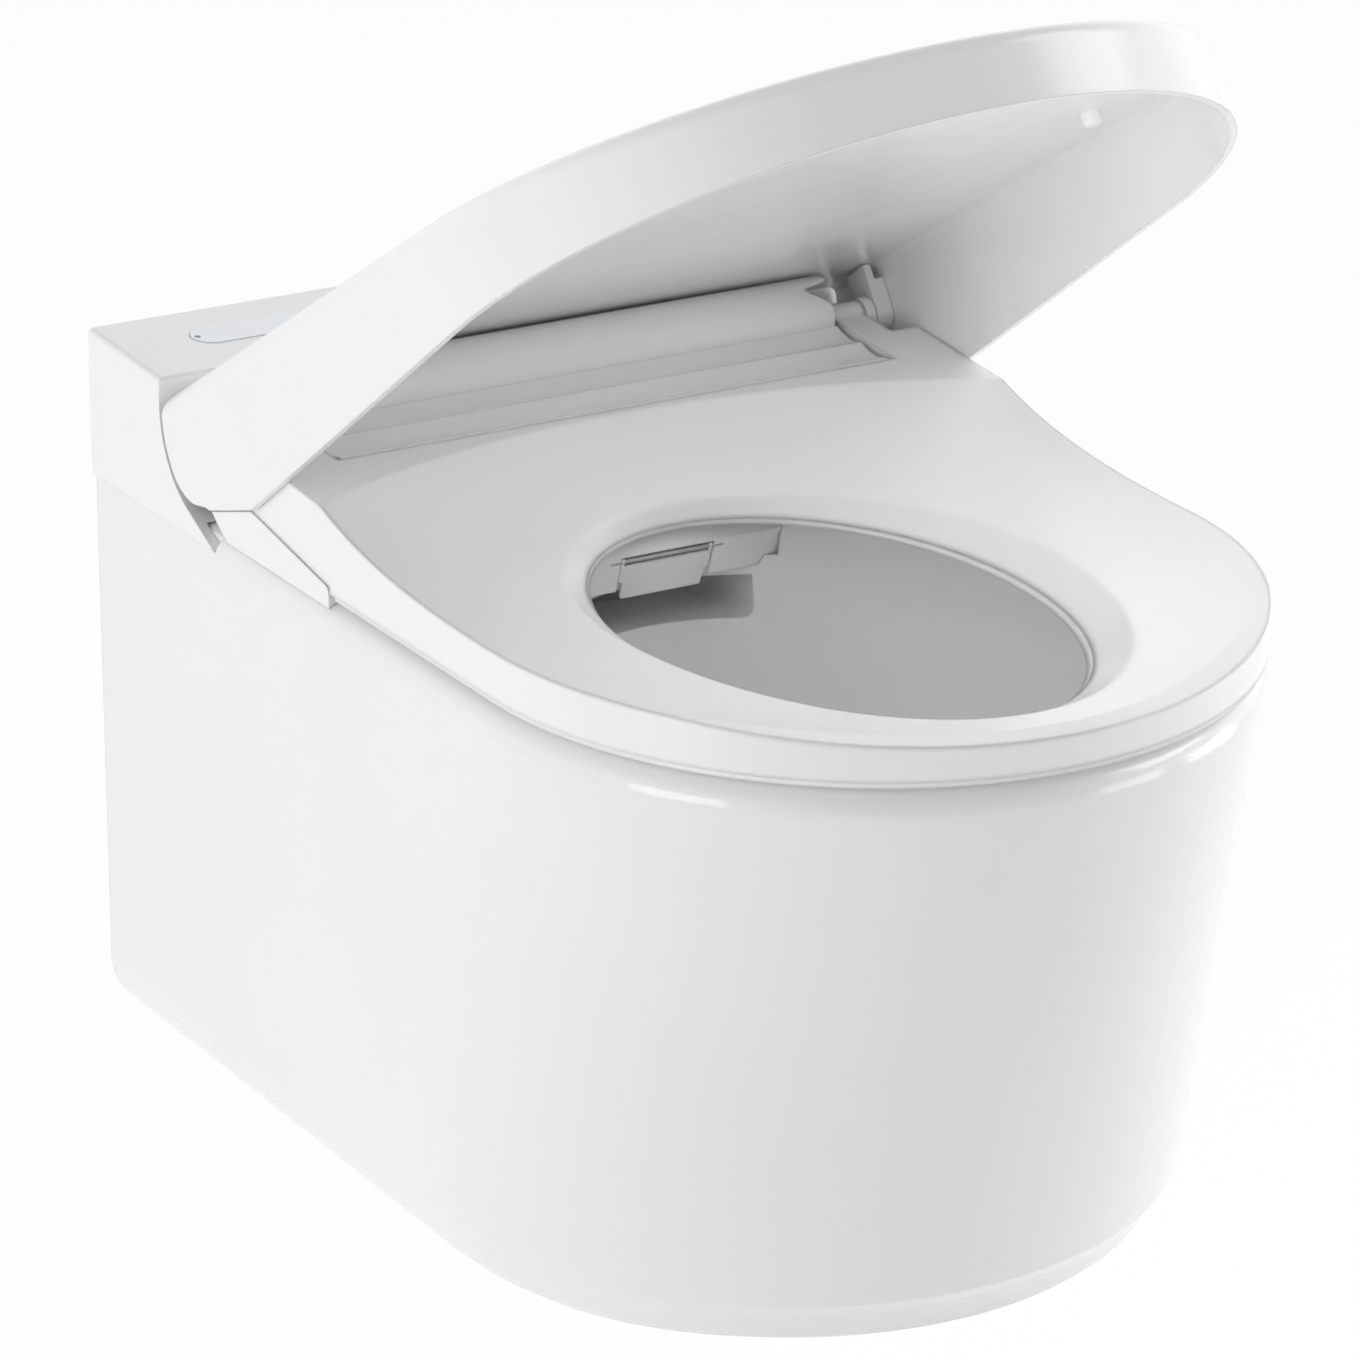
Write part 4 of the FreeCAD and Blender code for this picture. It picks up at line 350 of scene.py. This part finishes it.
def roll_grid():
    """A steady tube about the roll's line: x is a share of an end distance that depends on the turn."""
    turn = np.linspace(-180, 180, ROLL_TURNS, endpoint=False)
    above = smooth_step((NOTCH_TURN + NOTCH_ABOVE - turn) / NOTCH_ABOVE)
    below = smooth_step((turn - NOTCH_TURN + NOTCH_BELOW) / NOTCH_BELOW)
    lip = smooth_step((turn - NOTCH_TURN) / NOTCH_ABOVE)
    end = ROLL_HALF + LIP_REACH * lip - NOTCH_DEPTH * above * below
    last_radius, last_back = ROLL_END[-1]
    rings = [(radius, end + back) for radius, back in ROLL_END]
    rings += [(last_radius, (end + last_back) * share) for share in ROLL_STATION_SHARES]
    rings += [(radius, -end - back) for radius, back in reversed(ROLL_END)]
    angle = np.radians(turn)
    grid = [np.column_stack([x, ROLL_Y - radius * ROLL_RADIUS * np.cos(angle),
                             ROLL_Z + radius * ROLL_RADIUS * np.sin(angle)]) for radius, x in rings]
    return np.stack(grid)


def leg_loop(front_y, rear_y, top_z):
    """The rounded rectangle of a leg seen from the side, as (y, z) points."""
    corners = [(front_y, LEG_LOW_Z), (rear_y, LEG_LOW_Z), (rear_y, top_z), (front_y, top_z)]
    return rounded_loop(corners, [LEG_ROUND] * len(corners))


def strip_loop():
    """The strip's side profile: two flutes along a sloping line, a round front edge, a skirt and its underside."""
    share = np.linspace(FLUTE_START_SHARE, FLUTE_END_SHARE, 60)
    y = STRIP_REAR_Y + (STRIP_FRONT_Y - STRIP_REAR_Y) * share
    line = STRIP_REAR_Z + (STRIP_FRONT_Z - STRIP_REAR_Z) * share
    wave = math.pi * FLUTES * (share - FLUTE_START_SHARE) / (FLUTE_END_SHARE - FLUTE_START_SHARE)
    top = np.column_stack([y, line - FLUTE_DEPTH * np.abs(np.sin(wave)) ** FLUTE_POWER])
    under_y = np.linspace(UNDER_FRONT_Y, UNDER_REAR_Y, 56)
    under = np.column_stack([under_y, np.full(len(under_y), UNDER_Z)])
    return np.concatenate([top, SKIRT_FRONT, SKIRT_BACK, under, STRIP_REAR])


white = FINISHES["white_plastic"]
legs = [bar_along_x(leg_loop(*ROLL_LEG), x0, x1) for x0, x1 in LEG_SPANS]
surface_piece("hinge_roll", [roll_grid()] + legs, "pan", white, ["hinge_cover"])
legs = [bar_along_x(leg_loop(*STRIP_LEG), x0, x1) for x0, x1 in LEG_SPANS]
strip = bar_along_x(strip_loop(), -STRIP_HALF, STRIP_HALF, STRIP_EDGE)
surface_piece("fluted_strip", [strip] + legs, "pan", white, ["hinge_apron"])

# %% [markdown]
# The spray unit's flap hangs from a pin across its top.
# It is narrower below its shoulders, and a dark slit stays open above it, between the two tabs that reach the pin.
# The lid's two stops are low soft mounds on its underside.

# %% Flap and lid stops
FLAP_Y, FLAP_Z, FLAP_TURN = -230.0, 68.0, math.radians(108.0)
FLAP_LENGTH, FLAP_SHEET, FLAP_EDGE, SLIT = 21.5, 2.0, 0.5, 2.6
# The right half of the flap's outline, as (across, down) from the slit past the shoulder to the foot, and its rounds.
FLAP_SIDE = [(24.5, SLIT), (24.5, 11.2), (22.0, 12.4), (21.6, FLAP_LENGTH)]
FLAP_ROUNDS = [0.8, 0.6, 0.6, 0.9]
TAB_INNER, TAB_OUTER, TAB_EDGE = 22.8, 24.5, 0.2
TAB_CORNERS = [(-1.8, -0.3), (SLIT + 1.5, 0.1), (SLIT + 1.5, 1.9), (-1.8, 2.3)]
TAB_ROUNDS = [1.0, 0.2, 0.2, 1.0]
STOP_X, STOP_Y, STOP_Z = 149.0, -407.0, 129.3
STOP_RADIUS, STOP_HEIGHT, STOP_ROUND = 5.0, 7.4, 3.0


def flap_grid():
    """A plate from its outline: each ring is the outline drawn in by an inset, at a height across the sheet."""
    left = [(-across, down) for across, down in reversed(FLAP_SIDE)]
    outline = rounded_loop(FLAP_SIDE + left, FLAP_ROUNDS + FLAP_ROUNDS[::-1], 5)
    middle = np.column_stack([np.zeros(len(outline)), outline[:, 1]])
    inwards = np.array([0.0, (FLAP_LENGTH + SLIT) / 2]) - outline
    inset = outline + inwards / np.linalg.norm(inwards, axis=1, keepdims=True) * FLAP_EDGE
    eased, easing = outline + (inset - outline) * SOFT_END_SHARE, FLAP_EDGE * SOFT_END_SHARE
    rings = [(0.0, middle), (0.0, inset), (easing, eased), (FLAP_EDGE, outline),
             (FLAP_SHEET - FLAP_EDGE, outline), (FLAP_SHEET - easing, eased),
             (FLAP_SHEET, inset), (FLAP_SHEET, middle)]
    return np.stack([np.column_stack([ring[:, 0], in_flap_plane(ring[:, 1:], height)]) for height, ring in rings])


def in_flap_plane(down, height):
    """(y, z) of places that far down the flap from its pin, at a height across its sheet."""
    along = np.array([-math.cos(FLAP_TURN), -math.sin(FLAP_TURN)])
    out = np.array([-math.sin(FLAP_TURN), math.cos(FLAP_TURN)])
    return np.array([FLAP_Y, FLAP_Z]) + down * along + (height - FLAP_SHEET) * out


def tab_grid(x0, x1):
    """A short tab from the plate's top to the pin: a rounded wedge seen along the flap's plane, swept along X."""
    loop = rounded_loop(TAB_CORNERS, TAB_ROUNDS)
    return bar_along_x(in_flap_plane(loop[:, :1], loop[:, 1:]), x0, x1, TAB_EDGE)


def stop_grid(x):
    """A mound of circles whose radius shrinks to zero along a quarter circle, turned with the lid about the hinge."""
    share = np.linspace(0, math.pi / 2, 9)
    radius = np.concatenate([[0.0], [STOP_RADIUS], STOP_RADIUS - STOP_ROUND + STOP_ROUND * np.cos(share), [0.0]])
    down = np.concatenate([[0.0], [0.0], STOP_HEIGHT - STOP_ROUND + STOP_ROUND * np.sin(share), [STOP_HEIGHT]])
    angle = np.linspace(0, 2 * math.pi, 40, endpoint=False)
    across = x + radius[:, None] * np.cos(angle)
    y = STOP_Y - HINGE_Y + radius[:, None] * np.sin(angle)
    z = STOP_Z - HINGE_Z - down[:, None] + 0 * angle
    cos, sin = math.cos(LID_OPEN), math.sin(LID_OPEN)
    return np.stack([across, HINGE_Y + y * cos + z * sin, HINGE_Z - y * sin + z * cos], axis=-1)


flap = [flap_grid(), tab_grid(TAB_INNER, TAB_OUTER), tab_grid(-TAB_OUTER, -TAB_INNER)]
surface_piece("stepped_flap", flap, "flap", white, ["nozzle_flap"])
surface_piece("lid_stops", [stop_grid(STOP_X), stop_grid(-STOP_X)], "lid", white, ["lid_bumpers"])

# %% [markdown]
# The studio is a pale floor far below the object, since the object hangs on a wall, and soft light from a white room.
# The room is brightest at its sides, so the flanks are the brightest faces and the front falls into soft grey.
# A high lamp on the right gives the bright band on the lid's round front, and two strips reach in under the lid.
# A small lamp under the lid's front edge lights the seat and, off the seat, the lid's underside.

# %% Studio
FLOOR_Z = -0.90
FLOOR_REACH = 20.0
FLOOR_GLOW, FLOOR_GLOW_SHARE = 1.05, 0.85
ROOM_SIDES, ROOM_TOP, ROOM_FRONT = 1.30, 0.25, 0.30
FRONT_BEGINS, FRONT_ENDS = -0.35, -0.85
TOP_BEGINS, TOP_ENDS = 0.40, 0.80


def studio_white():
    """A near-white floor that glows a little to the camera and to mirrors, so it reads as white and keeps shadows."""
    material = bpy.data.materials.new("studio_white")
    material.use_nodes = True
    tree = material.node_tree
    shader = tree.nodes["Principled BSDF"]
    shader.inputs["Roughness"].default_value = 0.9
    place = tree.nodes.new("ShaderNodeTexCoord").outputs["Object"]
    tint = put(tree, "ShaderNodeGroup", node_tree=cloudy)
    tint.inputs["Colour"].default_value = (0.92, 0.92, 0.92, 1)
    tint.inputs["Shade"].default_value = (0.90, 0.90, 0.90, 1)
    tint.inputs["Fineness"].default_value = 0.5
    tree.links.new(place, tint.inputs["Place"])
    tree.links.new(tint.outputs["Colour"], shader.inputs["Base Color"])
    rays = tree.nodes.new("ShaderNodeLightPath")
    seen = put(tree, "ShaderNodeMath", [(0, rays.outputs["Is Camera Ray"]), (1, rays.outputs["Is Glossy Ray"])],
               operation="MAXIMUM")
    seen = put(tree, "ShaderNodeMath", [(0, seen.outputs[0]), (1, rays.outputs["Is Transmission Ray"])],
               operation="MAXIMUM")
    part = put(tree, "ShaderNodeMath", [(0, seen.outputs[0]), (1, FLOOR_GLOW_SHARE)], operation="MULTIPLY")
    glow = put(tree, "ShaderNodeEmission", [("Color", (1, 1, 1, 1)), ("Strength", FLOOR_GLOW)])
    mix = put(tree, "ShaderNodeMixShader", [(0, part.outputs[0]), (1, shader.outputs[0]), (2, glow.outputs[0])])
    tree.links.new(mix.outputs[0], tree.nodes["Material Output"].inputs["Surface"])
    return material


floor_corners = [(-FLOOR_REACH, -FLOOR_REACH, FLOOR_Z), (FLOOR_REACH, -FLOOR_REACH, FLOOR_Z),
                 (FLOOR_REACH, FLOOR_REACH, FLOOR_Z), (-FLOOR_REACH, FLOOR_REACH, FLOOR_Z)]
floor_mesh = bpy.data.meshes.new("floor")
floor_mesh.from_pydata(floor_corners, [], [(0, 1, 2, 3)])
floor_mesh.materials.append(studio_white())
floor = bpy.data.objects.new("floor", floor_mesh)
bpy.context.scene.collection.objects.link(floor)

world = bpy.data.worlds.new("studio")
bpy.context.scene.world = world
world.use_nodes = True
room = world.node_tree
rays = room.nodes.new("ShaderNodeLightPath")
backing = room.nodes["Background"]
backing.inputs["Color"].default_value = (1, 1, 1, 1)

# The room is bright at its sides, dim overhead and dim in front, where the camera stands.
way = put(room, "ShaderNodeSeparateXYZ", [(0, room.nodes.new("ShaderNodeTexCoord").outputs["Generated"])])
front = put(room, "ShaderNodeMapRange", [("Value", way.outputs["Y"]),
                                         ("From Min", FRONT_BEGINS), ("From Max", FRONT_ENDS),
                                         ("To Min", ROOM_SIDES), ("To Max", ROOM_FRONT)])
top = put(room, "ShaderNodeMapRange", [("Value", way.outputs["Z"]),
                                       ("From Min", TOP_BEGINS), ("From Max", TOP_ENDS)])
level = put(room, "ShaderNodeMix", [(0, top.outputs[0]), (2, front.outputs[0]), (3, ROOM_TOP)])
room.links.new(level.outputs[0], backing.inputs["Strength"])
white_backdrop = put(room, "ShaderNodeBackground", [("Color", (1, 1, 1, 1)), ("Strength", 1.0)])
mix = put(room, "ShaderNodeMixShader", [(0, rays.outputs["Is Camera Ray"]), (1, backing.outputs[0]),
                                        (2, white_backdrop.outputs[0])])
room.links.new(mix.outputs[0], room.nodes["World Output"].inputs["Surface"])


def soft_lamp(name, place, size, power, aim=(0, -0.3, 0)):
    """A square area lamp of that size in metres and power in watts, out of the camera's sight, aimed at a place."""
    data = bpy.data.lights.new(name, "AREA")
    data.size = size
    data.energy = power
    lamp = bpy.data.objects.new(name, data)
    lamp.location = place
    lamp.rotation_euler = (Vector(place) - Vector(aim)).to_track_quat("Z", "Y").to_euler()
    lamp.visible_camera = False
    bpy.context.scene.collection.objects.link(lamp)


soft_lamp("left_strip", (-3.2, -0.9, -0.1), 1.4, 18.0)
soft_lamp("right_strip", (3.2, -1.0, 0.1), 1.4, 13.0)
soft_lamp("low_right_strip", (2.2, -2.6, 0.0), 1.2, 10.0)
soft_lamp("high_right_softbox", (2.6, -1.2, 2.4), 1.8, 30.0)
soft_lamp("seat_strip", (0.02, -0.49, 0.33), 0.20, 0.17, (0, -0.24, 0.12))
bpy.context.scene.view_settings.view_transform = "Standard"
